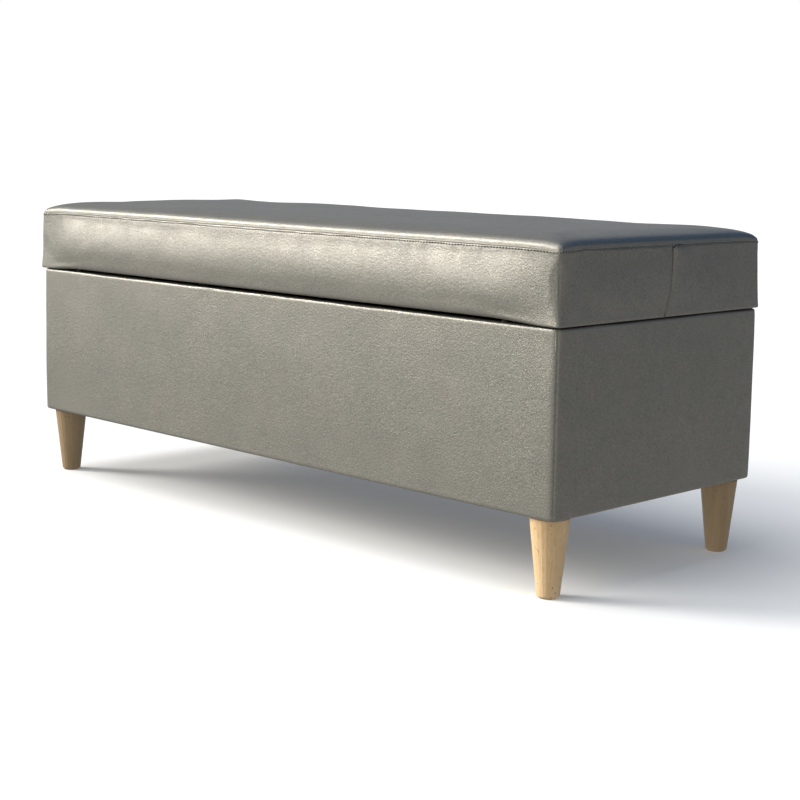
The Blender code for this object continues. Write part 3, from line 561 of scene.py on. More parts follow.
def lid_form(points):
    """Bends the square cage to the padded lid: a rolled top, and sides that bulge between the corners."""
    x, y, z = points[:, 0].copy(), points[:, 1].copy(), points[:, 2].copy()
    inset_x, inset_y = inward_reach(points, *LID_PLAN)
    on_top = z > SEAM_Z - TOUCH
    under = z < LID_LOW.z + TOUCH
    height = np.clip((z - LID_LOW.z) / (SEAM_Z - LID_LOW.z), 0, 1)

    # The top's grid lines keep their spacing along the rolled surface
    plan_x = np.sign(x) * (LID_HALF_X - roll_places(ROLL_WIDTH, LID_RISE, inset_x))
    depth_y = LID_HALF_Y - roll_places(ROLL_WIDTH, LID_RISE, inset_y)
    plan_y = LID_CENTRE_Y + np.sign(y - LID_CENTRE_Y) * depth_y
    out = points.copy()
    out[:, 0] = np.where(on_top, plan_x, x)
    out[:, 1] = np.where(on_top, plan_y, y)
    in_x, in_y = inward_reach(out, *LID_PLAN)
    roll_x, roll_y = rolled(in_x, ROLL_WIDTH), rolled(in_y, ROLL_WIDTH)
    rise = LID_RISE * roll_x * roll_y
    out[:, 2] = np.where(on_top, SEAM_Z + rise, z)

    # Plan corners: tight at the board and the seam, slackest at mid height of the near corner
    slack = np.where((x > 0) & (y < LID_CENTRE_Y), NEAR_SLACK, OTHER_SLACK)
    radius = CORNER_TIGHT + slack * np.sin(math.pi * height**SLACK_SHAPE) + SEAM_SLACK * height
    radius = np.where(under, UNDER_RADIUS, radius)
    out = round_corners(out, *LID_PLAN, radius)
    outward = plan_normals(out, *LID_PLAN, np.maximum(radius, NORMAL_RADIUS))

    # Sides lean in towards the seam, and bulge between the corners
    along = np.maximum(inset_x, inset_y)
    from_corner = np.clip(along / BULGE_FADE, 0, 1)
    fade = from_corner * from_corner * (3 - 2 * from_corner)
    bulge = np.where(inset_x < inset_y, END_BULGE, FRONT_BULGE)
    swell = np.where(on_top | under, 0, bulge * np.sin(math.pi * height**BULGE_SHAPE) * fade)
    swell -= LID_LEAN * np.where(on_top, 1 - roll_x * roll_y, height)

    # The end seams stand forward of the middle and sweep forward downwards, with a slack fold behind
    from_seam = y - END_SEAM_Y
    window = np.cos(np.clip(from_seam / SWEEP_REACH, -1, 1) * math.pi / 2) ** 2
    sweep = END_SEAM_SHIFT + END_SEAM_SWEEP * (1 - height) ** SWEEP_SHAPE
    sweep += END_SEAM_BELLY * np.sin(math.pi * height)
    sweep = np.where((inset_x < LID_HEM * 1.5) & ~on_top, sweep * window, 0)
    fold = FOLD_DEPTH * height**1.5 * bell(from_seam - FOLD_PLACE, FOLD_WIDTH)
    fold -= GROOVE_DEPTH * bell(from_seam, GROOVE_WIDTH)
    swell += np.where((inset_x < TOUCH) & ~on_top & ~under, fold, 0)

    # The seam and the row of stitches bind the cover down
    to_seam = np.where(on_top, rise * 1.1, SEAM_Z - z)
    pull = SEAM_PULL * bell(to_seam, SEAM_REACH)
    pull += STITCH_PULL * bell(SEAM_Z - z - STITCH_DROP, STITCH_REACH) * ~on_top
    out += outward * (swell - np.where(under, 0, pull))[:, None]
    out[:, 1] += sweep

    # The seam dips at the corners, where the padding is softest
    to_corner = np.hypot(inset_x, inset_y)
    out[:, 2] -= CORNER_DIP * bell(to_corner, DIP_REACH) * np.where(under, 0, height**2)

    # The lower edge sags onto the box at its corners and ends, and arches a little along the front
    long_side = inset_y < inset_x
    arch = np.where(y < LID_CENTRE_Y, EDGE_ARCH, 0)
    ends = bell(np.maximum(0, inset_x - SAG_START), SAG_REACH)
    near_edge = np.clip(1 - np.minimum(inset_x, inset_y) / LID_HEM, 0, 1) * under + ~under
    drop = np.where(long_side, EDGE_SAG * ends - arch * (1 - ends), EDGE_SAG)
    out[:, 2] -= np.where(on_top, 0, drop * (1 - height) ** 2 * near_edge)

    # The lower edge rounds under the board
    centre_in, centre_up = BOTTOM_RADIUS, LID_LOW.z + BOTTOM_RADIUS
    edge_in = np.where(under, np.minimum(inset_x, inset_y), 0)
    v_in, v_up = edge_in - centre_in, z - centre_up
    bend = (v_in < 0) & (v_up < 0)
    reach, length = np.maximum(-v_in, -v_up), np.maximum(np.hypot(v_in, v_up), 1e-9)
    out[:, 2] += np.where(bend, centre_up + v_up * reach / length - z, 0)
    shift = np.where(bend, centre_in + v_in * reach / length - edge_in, 0)
    side_radius = np.full(len(points), LID_HEM * 1.5)
    side = plan_normals(points, *LID_PLAN, side_radius)
    out -= side * shift[:, None]
    return out, outward, height, on_top, under, along


# Wrinkles: how far each kind stands out or in
PUCKER, DRAG, SLOW, SMALL = 0.0016, 0.0014, 0.0006, 0.0003
CROWN, FINE_CROWN, SEAM_WAVE = 0.0014, 0.0005, 0.0006
PUCKER_REACH, DRAG_REACH, SEAM_WAVE_REACH, CROWN_START = 0.20, 0.055, 0.06, 0.012


def lid_wrinkles(points, outward, height, on_top, under, along):
    """Puckers below the seam, drag lines near the corners, and slow waves of the padding."""
    side = ~on_top & ~under
    flat = np.zeros(len(points))
    run = points[:, 0] * np.abs(outward[:, 1]) + points[:, 1] * np.abs(outward[:, 0])
    lines = np.stack([run, flat, points[:, 2] * 0.12], axis=1)
    slant = np.stack([run + 0.35 * points[:, 2], flat, points[:, 2] * 0.3], axis=1)
    belly = np.sin(math.pi * height)
    pucker = bumpy(lines, 75, 1) * bell(1 - height, PUCKER_REACH) * PUCKER
    drag = bumpy(slant, 48, 2) * bell(along, DRAG_REACH) * belly * DRAG
    slow = bumpy(points, 9, 3) * belly * SLOW
    small = bumpy(points, 34, 4) * SMALL
    moved = points + outward * np.where(side, pucker + drag + slow + small, 0)[:, None]
    crown = bumpy(points, 5.5, 5) * CROWN + bumpy(points, 22, 6) * FINE_CROWN
    crown *= np.clip((points[:, 2] - SEAM_Z) / CROWN_START, 0, 1)
    moved[:, 2] += np.where(on_top, crown, 0)
    plan = np.stack([points[:, 0], points[:, 1], flat], axis=1)
    moved[:, 2] += np.where(on_top, 0, bumpy(plan, 60, 7) * SEAM_WAVE * bell(1 - height, SEAM_WAVE_REACH))
    return moved


# The cover's cloth: kilograms, newtons per metre and the like, as the simulation takes them
CLOTH = {
    "quality": 6,
    "mass": 0.35,
    "tension_stiffness": 30,
    "compression_stiffness": 22,
    "shear_stiffness": 12,
    "bending_stiffness": 6,
    "tension_damping": 12,
    "compression_damping": 12,
    "shear_damping": 12,
    "use_pressure": True,
    "shrink_min": 0.006,
    "vertex_group_mass": "pins",
    "pin_stiffness": 6,
}
CLOTH_PRESSURE = 2.2
CLOTH_FRAMES = 16
CLOTH_LIMIT = 0.0014
HEM_PIN, SEAM_PIN, STITCH_PIN = 1.0, 0.85, 0.35
PAD_GAP = 0.0005
PAD_INSET = 0.0032
TUCK = 0.0014
LEVEL_CREASE, UPRIGHT_CREASE = 0.75, 0.2
SEWN_ABOVE = 0.002


def inflate(piece, pins):
    """Short cloth simulation of a cover: pressure fills it out, pins hold it, and no point moves past a limit."""
    before = np.array([vert.co for vert in piece.data.vertices])
    group = piece.vertex_groups.new(name="pins")
    for index, weight in enumerate(pins):
        if weight > 0:
            group.add([index], float(weight), "REPLACE")
    cloth = piece.modifiers.new("cloth", "CLOTH")
    for name, value in CLOTH.items():
        setattr(cloth.settings, name, value)
    cloth.settings.uniform_pressure_force = CLOTH_PRESSURE
    cloth.settings.effector_weights.gravity = 0
    cloth.point_cache.frame_start = 1
    cloth.point_cache.frame_end = CLOTH_FRAMES
    scene = bpy.context.scene
    for number in range(1, CLOTH_FRAMES + 1):
        scene.frame_set(number)
    freeze(piece)
    piece.vertex_groups.clear()
    moved = np.array([vert.co for vert in piece.data.vertices]) - before
    length = np.linalg.norm(moved, axis=1)
    moved *= (np.minimum(length, CLOTH_LIMIT) / np.maximum(length, 1e-9))[:, None]
    for vert, place in zip(piece.data.vertices, before + moved):
        vert.co = place
    scene.frame_set(1)


def split_piece(source, name, keep):
    """A copy of the source with only the faces that keep says, judged by the indices of their corners."""
    mesh = bmesh.new()
    mesh.from_mesh(source.data)
    mesh.verts.ensure_lookup_table()
    gone = [face for face in mesh.faces if not all(keep[vert.index] for vert in face.verts)]
    bmesh.ops.delete(mesh, geom=gone, context="FACES")
    loose = [vert for vert in mesh.verts if not vert.link_faces]
    bmesh.ops.delete(mesh, geom=loose, context="VERTS")
    return make_piece(name, mesh, "faux_leather", "lid")


def tuck_edges(piece):
    """Turns the sewn edges of a piece inward, as a seam allowance, so that two pieces meet in a crease."""
    mesh = bmesh.new()
    mesh.from_mesh(piece.data)
    mesh.normal_update()
    crease = mesh.edges.layers.float.new("crease_edge")
    edges = []
    for edge in mesh.edges:
        if edge.is_boundary and (edge.verts[0].co.z + edge.verts[1].co.z) / 2 > LID_LOW.z + SEWN_ABOVE:
            edges.append(edge)
    for edge in edges:
        level = abs(edge.verts[0].co.z - edge.verts[1].co.z) < 0.3 * edge.calc_length()
        edge[crease] = LEVEL_CREASE if level else UPRIGHT_CREASE
    made = bmesh.ops.extrude_edge_only(mesh, edges=edges)["geom"]
    turned = {part for part in made if isinstance(part, bmesh.types.BMVert)}
    for vert in turned:
        beside = [edge.other_vert(vert) for edge in vert.link_edges]
        source = next(other for other in beside if other not in turned)
        vert.co -= source.normal * TUCK
    mesh.to_mesh(piece.data)
    mesh.free()


def build_lid_cover():
    """The padded lid: one simulated cover, then parted at its seams into its sewn panels."""
    cage = lid_cage()
    square = points_of(cage)
    form, outward, height, on_top, under, along = lid_form(square)
    move_points(cage, form)
    whole = make_piece("lid_cover_whole", cage, "faux_leather", "lid")
    inset_x, inset_y = inward_reach(square, *LID_PLAN)
    on_seam = (np.abs(square[:, 2] - SEAM_Z) < TOUCH) & (np.minimum(inset_x, inset_y) < TOUCH)
    stitched = np.abs(square[:, 2] - (SEAM_Z - STITCH_DROP)) < TOUCH
    low_edge = square[:, 2] < LID_LOW.z + BOTTOM_RADIUS
    pins = np.where(on_seam, SEAM_PIN, np.where(stitched, STITCH_PIN, 0.0))
    inflate(whole, np.where(low_edge, HEM_PIN, pins))
    points = np.array([vert.co for vert in whole.data.vertices])
    points = lid_wrinkles(points, outward, height, on_top, under, along)
    for vert, point in zip(whole.data.vertices, points):
        vert.co = point

    boxing = ~on_top | on_seam
    top = split_piece(whole, "lid_top_panel", on_top)
    front = split_piece(whole, "lid_boxing_front", boxing & (square[:, 1] < END_SEAM_Y + TOUCH))
    rear = split_piece(whole, "lid_boxing_rear", boxing & (square[:, 1] > END_SEAM_Y - TOUCH))
    pad = build_lid_pad(whole)
    bpy.data.objects.remove(whole)
    for piece, node in ((top, "lid_top_cover"), (front, "lid_band_front"), (rear, "lid_band_rear")):
        tuck_edges(piece)
        thicken(piece, LEATHER)
        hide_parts(node)
    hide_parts("lid_foam", "lid_wadding")
    ring = on_surface(stitch_ring(square, points, stitched & ~on_top), (front, rear))
    build_beads("lid_topstitch", ring, STITCH_SIZES, 0.0, "thread")
    # Dark beads between the stitches, painted shade of the needle holes
    build_beads("lid_stitch_hole_shades", ring, HOLE_SHADE_SIZES, STITCH_PITCH / 2, "hole_shade")


def build_lid_pad(whole):
    """The foam and wadding inside the cover, down to the board."""
    mesh = bmesh.new()
    mesh.from_mesh(whole.data)
    mesh.normal_update()
    for vert in mesh.verts:
        vert.co -= vert.normal * PAD_INSET
    everything = mesh.verts[:] + mesh.edges[:] + mesh.faces[:]
    floor = BOARD_TOP + PAD_GAP
    cutting = bmesh.ops.bisect_plane(
        mesh, geom=everything, plane_co=(0, 0, floor), plane_no=(0, 0, -1), clear_outer=True
    )
    rim = [part for part in cutting["geom_cut"] if isinstance(part, bmesh.types.BMEdge)]
    bmesh.ops.contextual_create(mesh, geom=rim)
    pad = make_piece("lid_pad", mesh, "wadding", "lid")
    return pad


def stitch_ring(square, points, chosen):
    """The stitched row's points in order round the lid, anticlockwise from the right end."""
    indices = np.where(chosen)[0]
    x = square[indices, 0] / LID_HALF_X
    y = (square[indices, 1] - LID_CENTRE_Y) / LID_HALF_Y
    order = np.argsort(np.arctan2(y, x))
    return [Vector(points[i]) for i in indices[order]]


def on_surface(path, pieces):
    """Each point of a path, moved to the nearest place on these pieces."""
    trees = []
    for piece in pieces:
        mesh = bmesh.new()
        mesh.from_mesh(piece.data)
        trees.append(BVHTree.FromBMesh(mesh))
        mesh.free()
    placed = []
    for point in path:
        outer = point + (point - Vector((0, LID_CENTRE_Y, point.z))).normalized() * SEARCH_FROM
        found = [tree.find_nearest(outer) for tree in trees]
        place, normal, _, _ = min(found, key=lambda hit: hit[3])
        placed.append(place + normal * STITCH_PROUD)
    return placed


def walk(path, pitch, offset):
    """Places and directions every pitch along a closed path, starting an offset from its first point."""
    ends = path[1:] + path[:1]
    travelled, due = 0.0, offset
    for start, end in zip(path, ends):
        step = end - start
        length = step.length
        while due <= travelled + length:
            if length > 1e-9:
                yield start + step * ((due - travelled) / length), step.normalized()
            due += pitch
        travelled += length


def build_beads(name, path, half_sizes, offset, material):
    """A row of small rounded beads round the lid: thread stitches, or beads of painted shade for the needle holes
    between them.
    """
    rings, around = 5, 6
    centre = Vector((0, LID_CENTRE_Y, 0))
    template, faces = [], []
    for i in range(rings):
        lean = math.pi * (i + 0.5) / rings
        for j in range(around):
            turn = 2 * math.pi * j / around
            wide = math.sin(lean)
            template.append((-math.cos(lean), wide * math.cos(turn), wide * math.sin(turn)))
    for i in range(rings - 1):
        for j in range(around):
            here, beside = i * around + j, i * around + (j + 1) % around
            faces.append((here, beside, beside + around, here + around))
    faces.append(tuple(reversed(range(around))))
    faces.append(tuple(range((rings - 1) * around, rings * around)))
    template = np.array(template) * half_sizes
    points, polygons = [], []
    for place, along in walk(path, STITCH_PITCH, offset):
        out = Vector((along.y, -along.x, 0)).normalized()
        if out.dot(place - centre) < 0:
            out = -out
        axes = np.array((along, out, along.cross(out)))
        start = len(points) * len(template)
        points.append(template @ axes + np.array(place))
        polygons += [tuple(start + corner for corner in face) for face in faces]
    data = bpy.data.meshes.new(name)
    data.from_pydata(np.concatenate(points).tolist(), [], polygons)
    piece = make_piece(name, data, material, "lid")


# ---- base cover

BASE_CORNER_RADIUS = 0.011
BASE_EDGE_RADIUS = 0.0038
BASE_BORDER = [0, 0.0015, 0.0035, 0.006, 0.010, 0.016]
BASE_PITCH = 0.016
RIM_STEPS = (0.0012, 0.006, 0.014, 0.0138)
RIM_TOUCH = 0.002

# Waves of the stretched cover: how far each kind stands out
BASE_SLOW, BASE_SMALL, RIM_DRAG, HEM_DRAG, BASE_SWELL = 0.0008, 0.00035, 0.0011, 0.0007, 0.0012
RIM_DRAG_REACH, HEM_DRAG_REACH = 0.28, 0.16


def build_base_sleeve():
    """The cover of the box, pulled tight over thin padding, with a soft rim."""
    half_x, half_y = COVER_HIGH.x, COVER_HIGH.y
    low, high = COVER_LOW.z, COVER_HIGH.z
    xs = stops(2 * half_x, BASE_BORDER + [RIM_WIDTH], BASE_PITCH) - half_x
    ys = stops(2 * half_y, BASE_BORDER + [RIM_WIDTH], BASE_PITCH) - half_y
    zs = stops(high - low, BASE_BORDER + [BASE_HEM], BASE_PITCH) + low
    mesh = grid_box(xs, ys, zs)
    open_inside(mesh, lambda normal: abs(normal.z) > 0.9, half_x, half_y, 0, RIM_WIDTH)
    square = points_of(mesh)

    # Upright corners are rounded over the padding, and the rim and hem turn in a soft radius
    radius = BASE_EDGE_RADIUS
    centre_z = (low + high) / 2
    half = np.array([half_x, half_y, (high - low) / 2])
    local = square - np.array([0, 0, centre_z])
    inner = np.clip(local, radius - half, half - radius)
    away = local - inner
    reach = np.abs(away).max(axis=1)
    length = np.maximum(np.linalg.norm(away, axis=1), 1e-9)
    form = inner + away * (reach / length)[:, None] + np.array([0, 0, centre_z])
    outward = away / length[:, None]

    bend = round_corners(form.copy(), half_x, half_y, 0, BASE_CORNER_RADIUS)
    form[:, :2] = bend[:, :2]
    side = plan_normals(form, half_x, half_y, 0, BASE_CORNER_RADIUS)
    upright = np.abs(local[:, 2]) < half[2] - radius
    outward = np.where(upright[:, None] & (np.abs(side).sum(axis=1) > 0)[:, None], side, outward)

    # Slow waves of the stretched cover, drag lines from the rim, and the hem's soft edge
    inset_x, inset_y = inward_reach(local, half_x, half_y, 0)
    wall = (np.abs(local[:, 2]) < half[2] - TOUCH) & (np.minimum(inset_x, inset_y) < TOUCH)
    up = (square[:, 2] - low) / (high - low)
    run = square[:, 0] + square[:, 1]
    slow = BASE_SLOW * bumpy(square, 7, 11) + BASE_SMALL * bumpy(square, 26, 12)
    lines = np.stack([run, np.zeros(len(run)), square[:, 2] * 0.22], axis=1)
    drag = bumpy(lines, 22, 13) * RIM_DRAG * bell(1 - up, RIM_DRAG_REACH)
    drag += bumpy(lines, 30, 14) * HEM_DRAG * bell(up, HEM_DRAG_REACH)
    swell = BASE_SWELL * np.sin(math.pi * np.clip(up, 0, 1))
    form += outward * np.where(wall, slow + drag + swell, 0)[:, None]
    move_points(mesh, form)

    # The inner lip turns down inside the box
    def on_rim(edge):
        return edge.is_boundary and min(vert.co.z for vert in edge.verts) > high - RIM_TOUCH

    ring = [edge for edge in mesh.edges if on_rim(edge)]
    for drop in RIM_STEPS:
        ring = raise_ring(mesh, ring, -drop)
    sleeve = make_piece("base_sleeve", mesh, "faux_leather", "base")
    thicken(sleeve, LEATHER, edges="ALL")
    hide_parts("base_cover")


# ---- linings

FLAT_BORDER = [0, 0.004, 0.012, 0.022, 0.034]
FLAT_PITCH = 0.014
RIPPLE_START, RIPPLE_REACH = 0.012, 0.05
LINING_THICKNESS = 0.0008
LINING_BORDER = [0, 0.004, 0.010, 0.018]
LINING_PITCH = 0.016
LINING_SLACK, LINING_GAP = 0.0038, 0.0001
POST_GAP = 0.0026

# Staples: the wire's thickness, half of the crown, the depth of the ends, and the inset and spacing of a row
STAPLE_WIRE, STAPLE_HALF, STAPLE_LEG = 0.0006, 0.005, 0.0016
STAPLE_INSET, STAPLE_START, STAPLE_PITCH = 0.007, 0.02, 0.045
LINING_STAPLE_START, LINING_STAPLE_SINK = 0.03, 0.0012
STAPLES_LONG, STAPLES_SHORT = 22, 7


def sheet_mesh(xs, ys, height, missing=None):
    """A flat grid with lines at these places, without the cells that missing picks by their middle."""
    mesh = bmesh.new()
    rows = [[mesh.verts.new((x, y, height)) for x in xs] for y in ys]
    for low, high in zip(rows, rows[1:]):
        for i in range(len(xs) - 1):
            middle = (low[i].co + high[i + 1].co) / 2
            if missing is None or not missing(middle):
                mesh.faces.new((low[i], low[i + 1], high[i + 1], high[i]))
    loose = [vert for vert in mesh.verts if not vert.link_faces]
    bmesh.ops.delete(mesh, geom=loose, context="VERTS")
    return mesh


def ripple_sheet(points, low, high, depth, seed):
    """Height of a stretched sheet's ripples: none at its stapled edges, and growing in from them."""
    inset_x = np.minimum(points[:, 0] - low.x, high.x - points[:, 0])
    inset_y = np.minimum(points[:, 1] - low.y, high.y - points[:, 1])
    free = np.clip((np.minimum(inset_x, inset_y) - RIPPLE_START) / RIPPLE_REACH, 0, 1)
    waves = 0.6 * bumpy(points, 6, seed) + 0.25 * bumpy(points * (1, 2.5, 1), 14, seed + 1)
    waves += 0.15 * bumpy(points * (2.5, 1, 1), 30, seed + 2) * (1 - 0.6 * free)
    return waves * depth * free


def build_staples(name, places, body):
    """Wire staples through a lining's edge: each a flat crown with its two ends bent into the wood."""
    mesh = bmesh.new()
    wire, half, leg = STAPLE_WIRE, STAPLE_HALF, STAPLE_LEG
    shape = [(-half, -leg), (-half, 0), (-half + wire, wire), (half - wire, wire), (half, 0), (half, -leg)]
    for place, along, out in places:
        side = along.cross(out) * wire
        rings = []
        for run, rise in shape:
            middle = place + along * run + out * rise
            lift = (along if abs(run) == half else out) * wire / 2
            if run == -half:
                lift.negate()
            corners = ((1, 1), (-1, 1), (-1, -1), (1, -1))
            rings.append([mesh.verts.new(middle + a * side + b * lift) for a, b in corners])
        for start, end in zip(rings, rings[1:]):
            for i in range(4):
                mesh.faces.new((start[i], start[(i + 1) % 4], end[(i + 1) % 4], end[i]))
        mesh.faces.new(rings[0])
        mesh.faces.new(reversed(rings[-1]))
    bmesh.ops.recalc_face_normals(mesh, faces=mesh.faces)
    staples = make_piece(name, mesh, "zinc_steel", body)
    staples.data.shade_flat()


def edge_places(low, high):
    """Places of the staples round the underside of a rectangle, inset from its edges."""
    x0, x1, y0, y1 = low.x + STAPLE_INSET, high.x - STAPLE_INSET, low.y + STAPLE_INSET, high.y - STAPLE_INSET
    out = Vector((0, 0, -1))
    places = []
    for x in np.linspace(x0 + STAPLE_START, x1 - STAPLE_START, round((x1 - x0) / STAPLE_PITCH)):
        places += [(Vector((x, y, low.z)), Vector((1, 0, 0)), out) for y in (y0, y1)]
    for y in np.linspace(y0 + STAPLE_START, y1 - STAPLE_START, round((y1 - y0) / STAPLE_PITCH)):
        places += [(Vector((x, y, low.z)), Vector((0, 1, 0)), out) for x in (x0, x1)]
    return places


def build_flat_lining(name, node, body, depth, seed):
    """A stapled cloth sheet on the underside of the lid or of the box."""
    low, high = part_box(node)
    width, length = high.x - low.x, high.y - low.y
    xs = stops(width, FLAT_BORDER, FLAT_PITCH) + low.x
    ys = stops(length, FLAT_BORDER, FLAT_PITCH) + low.y
    mesh = sheet_mesh(xs, ys, low.z)
    points = points_of(mesh)
    points[:, 2] += ripple_sheet(points, low, high, depth, seed)
    move_points(mesh, points)
    bmesh.ops.reverse_faces(mesh, faces=mesh.faces)
    piece = make_piece(name, mesh, "black_cloth", body)
    thicken(piece, high.z - low.z)
    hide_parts(node)
    build_staples(name + "_staples", edge_places(low, high), body)


def build_storage_lining():
    """The cloth tray inside the box: floor and walls in one, a little slack, notched round the posts."""
    post_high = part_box("corner_post_front_left")[1]
    notch_x, notch_y = -post_high.x - POST_GAP, -post_high.y - POST_GAP
    half_x, half_y, bottom, top = LINING_HIGH.x, LINING_HIGH.y, LINING_LOW.z, LINING_HIGH.z
    side_x, side_y = half_x - notch_x, half_y - notch_y
    xs = stops(2 * half_x, LINING_BORDER + [side_x, side_x + 0.008], LINING_PITCH) - half_x
    ys = stops(2 * half_y, LINING_BORDER + [side_y, side_y + 0.008], LINING_PITCH) - half_y
    mesh = sheet_mesh(xs, ys, bottom, lambda place: abs(place.x) > notch_x and abs(place.y) > notch_y)
    ring = [edge for edge in mesh.edges if edge.is_boundary]
    rows = np.linspace(0.022, top - bottom - 0.004, 13)
    for rise in np.diff(np.concatenate([[0, 0.004, 0.010], rows, [top - bottom]])):
        ring = raise_ring(mesh, ring, rise)
    bmesh.ops.recalc_face_normals(mesh, faces=mesh.faces)
    mesh.normal_update()
    floor_face = min(mesh.faces, key=lambda face: face.calc_center_median().length)
    if floor_face.normal.z < 0:
        bmesh.ops.reverse_faces(mesh, faces=mesh.faces)
    mesh.normal_update()
    points = points_of(mesh)
    normals = np.array([vert.normal for vert in mesh.verts])
    up = np.clip((points[:, 2] - bottom) / (top - bottom), 0, 1)
    slack = np.abs(0.7 * bumpy(points * (1, 1, 0.45), 11, 31) + 0.3 * bumpy(points, 27, 32))
    slack = slack * LINING_SLACK * np.clip((1 - up) / 0.10, 0, 1) + LINING_GAP
    move_points(mesh, points + normals * slack[:, None])
    area = sum(face.calc_area() for face in mesh.faces)
    tray = make_piece("storage_lining_cloth", mesh, "black_cloth", "base")
    thicken(tray, LINING_THICKNESS)
    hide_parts("storage_lining")
    rise = top - bottom
    places = []
    reach_x, reach_y = notch_x - LINING_STAPLE_START, notch_y - LINING_STAPLE_START
    height = top - STAPLE_INSET
    for x in np.linspace(-reach_x, reach_x, STAPLES_LONG):
        for side in (-1, 1):
            place = Vector((x, side * (half_y - LINING_STAPLE_SINK), height))
            places.append((place, Vector((1, 0, 0)), Vector((0, -side, 0))))
    for y in np.linspace(-reach_y, reach_y, STAPLES_SHORT):
        for side in (-1, 1):
            place = Vector((side * (half_x - LINING_STAPLE_SINK), y, height))
            places.append((place, Vector((0, 1, 0)), Vector((-side, 0, 0))))
    build_staples("storage_lining_staples", places, "base")


# ---- stay screws

HEAD_RADIUS = 0.0032
HEAD_PROUD = 0.00028
HEAD_SIDES = 24
CROSS_LONG, CROSS_SHORT = 0.0015, 0.0005

# Shares of the head's radius, then of the recess's reach, each with its height over the plate
HEAD_RINGS = ((1, -HEAD_PROUD), (1, HEAD_PROUD / 2), (0.92, HEAD_PROUD))
RECESS_RINGS = ((1, HEAD_PROUD), (0.85, HEAD_PROUD / 6))

# Where the screws sit in a plate, as shares of its half height, its width and its length
PLATE_SCREW_RISE = 0.68
BRACKET_SCREW_IN = 0.30
BRACKET_SCREWS_ALONG = (0.22, 0.78)
BELOW_BRACKET = 0.05


def cross_reach(step):
    """How far the cross recess reaches towards one of the head's sides."""
    quarters = step * 4 / HEAD_SIDES
    return CROSS_LONG if abs(quarters - round(quarters)) < 0.2 else CROSS_SHORT


def build_screw_heads(name, node, body, starts, direction):
    """Flush screw heads with a cross recess, each where a line from its start meets the plate."""
    plate = bmesh.new()
    plate.from_mesh(NODES[node].data)
    plate.transform(NODES[node].matrix_world)
    tree = BVHTree.FromBMesh(plate)
    plate.free()
    cross = [cross_reach(step) for step in range(HEAD_SIDES)]
    profile = [([share * HEAD_RADIUS] * HEAD_SIDES, rise) for share, rise in HEAD_RINGS]
    profile += [([share * reach for reach in cross], rise) for share, rise in RECESS_RINGS]
    mesh = bmesh.new()
    for start in starts:
        seat, facing, _, _ = tree.ray_cast(start, direction)
        side = facing.orthogonal().normalized()
        other = facing.cross(side)
        rings = []
        for reaches, rise in profile:
            ring = []
            for step, reach in enumerate(reaches):
                turn = 2 * math.pi * step / HEAD_SIDES
                spoke = math.cos(turn) * side + math.sin(turn) * other
                ring.append(mesh.verts.new(seat + facing * rise + reach * spoke))
            rings.append(ring)
        for low, high in zip(rings, rings[1:]):
            for i in range(HEAD_SIDES):
                after = (i + 1) % HEAD_SIDES
                mesh.faces.new((low[i], low[after], high[after], high[i]))
        mesh.faces.new(reversed(rings[0]))
        mesh.faces.new(rings[-1])
    bmesh.ops.recalc_face_normals(mesh, faces=mesh.faces)
    heads = make_piece(name, mesh, "zinc_steel", body)
    heads.data.shade_flat()


def build_stay_screws():
    """The screw heads of the stays' stud plates, on the end walls, and of their brackets, under the lid."""
    for side, way in (("left", -1), ("right", 1)):
        node = f"stay_stud_plate_{side}"
        low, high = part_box(node)
        middle = (low + high) / 2
        rise = PLATE_SCREW_RISE * (high.z - low.z) / 2
        starts = [Vector((0, middle.y, middle.z + up * rise)) for up in (-1, 1)]
        build_screw_heads(f"stay_plate_screws_{side}", node, "base", starts, Vector((way, 0, 0)))
        node = f"stay_bracket_{side}"
        low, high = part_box(node)
        x = (low.x if way > 0 else high.x) + way * BRACKET_SCREW_IN * (high.x - low.x)
        ys = [low.y + share * (high.y - low.y) for share in BRACKET_SCREWS_ALONG]
        starts = [Vector((x, y, low.z - BELOW_BRACKET)) for y in ys]
        build_screw_heads(f"stay_bracket_screws_{side}", node, "lid", starts, Vector((0, 0, 1)))


# ---- studio

REAR_TONE = (0.345, 0.35, 0.355)
FRONT_TONE = (0.83, 0.81, 0.73)
HORIZON_TONE = (0.335, 0.355, 0.39)
ZENITH_TONE = (0.12, 0.16, 0.22)
NAVY_TONE = (0.0, 0.085, 0.23)
GROUND_TONE = (0.52, 0.515, 0.50)


def build_floor():
    mesh = bmesh.new()
    bmesh.ops.create_circle(mesh, cap_ends=True, segments=96, radius=40)
    data = bpy.data.meshes.new("floor")
    mesh.to_mesh(data)
    mesh.free()
    floor = bpy.data.objects.new("floor", data)
    floor.visible_diffuse = False
    floor.visible_glossy = False
    bpy.context.scene.collection.objects.link(floor)
    shader = Shader("studio_floor")
    faint = shader.noise(3, 2)
    tone = shader.ramp(faint, [(0.3, (0.83, 0.83, 0.83)), (0.7, (0.85, 0.85, 0.85))])
    shader.finish(tone, 0.9, Emission_Color=(1, 1, 1, 1), Emission_Strength=0.14, Specular_IOR_Level=0.0)
    data.materials.append(shader.material)


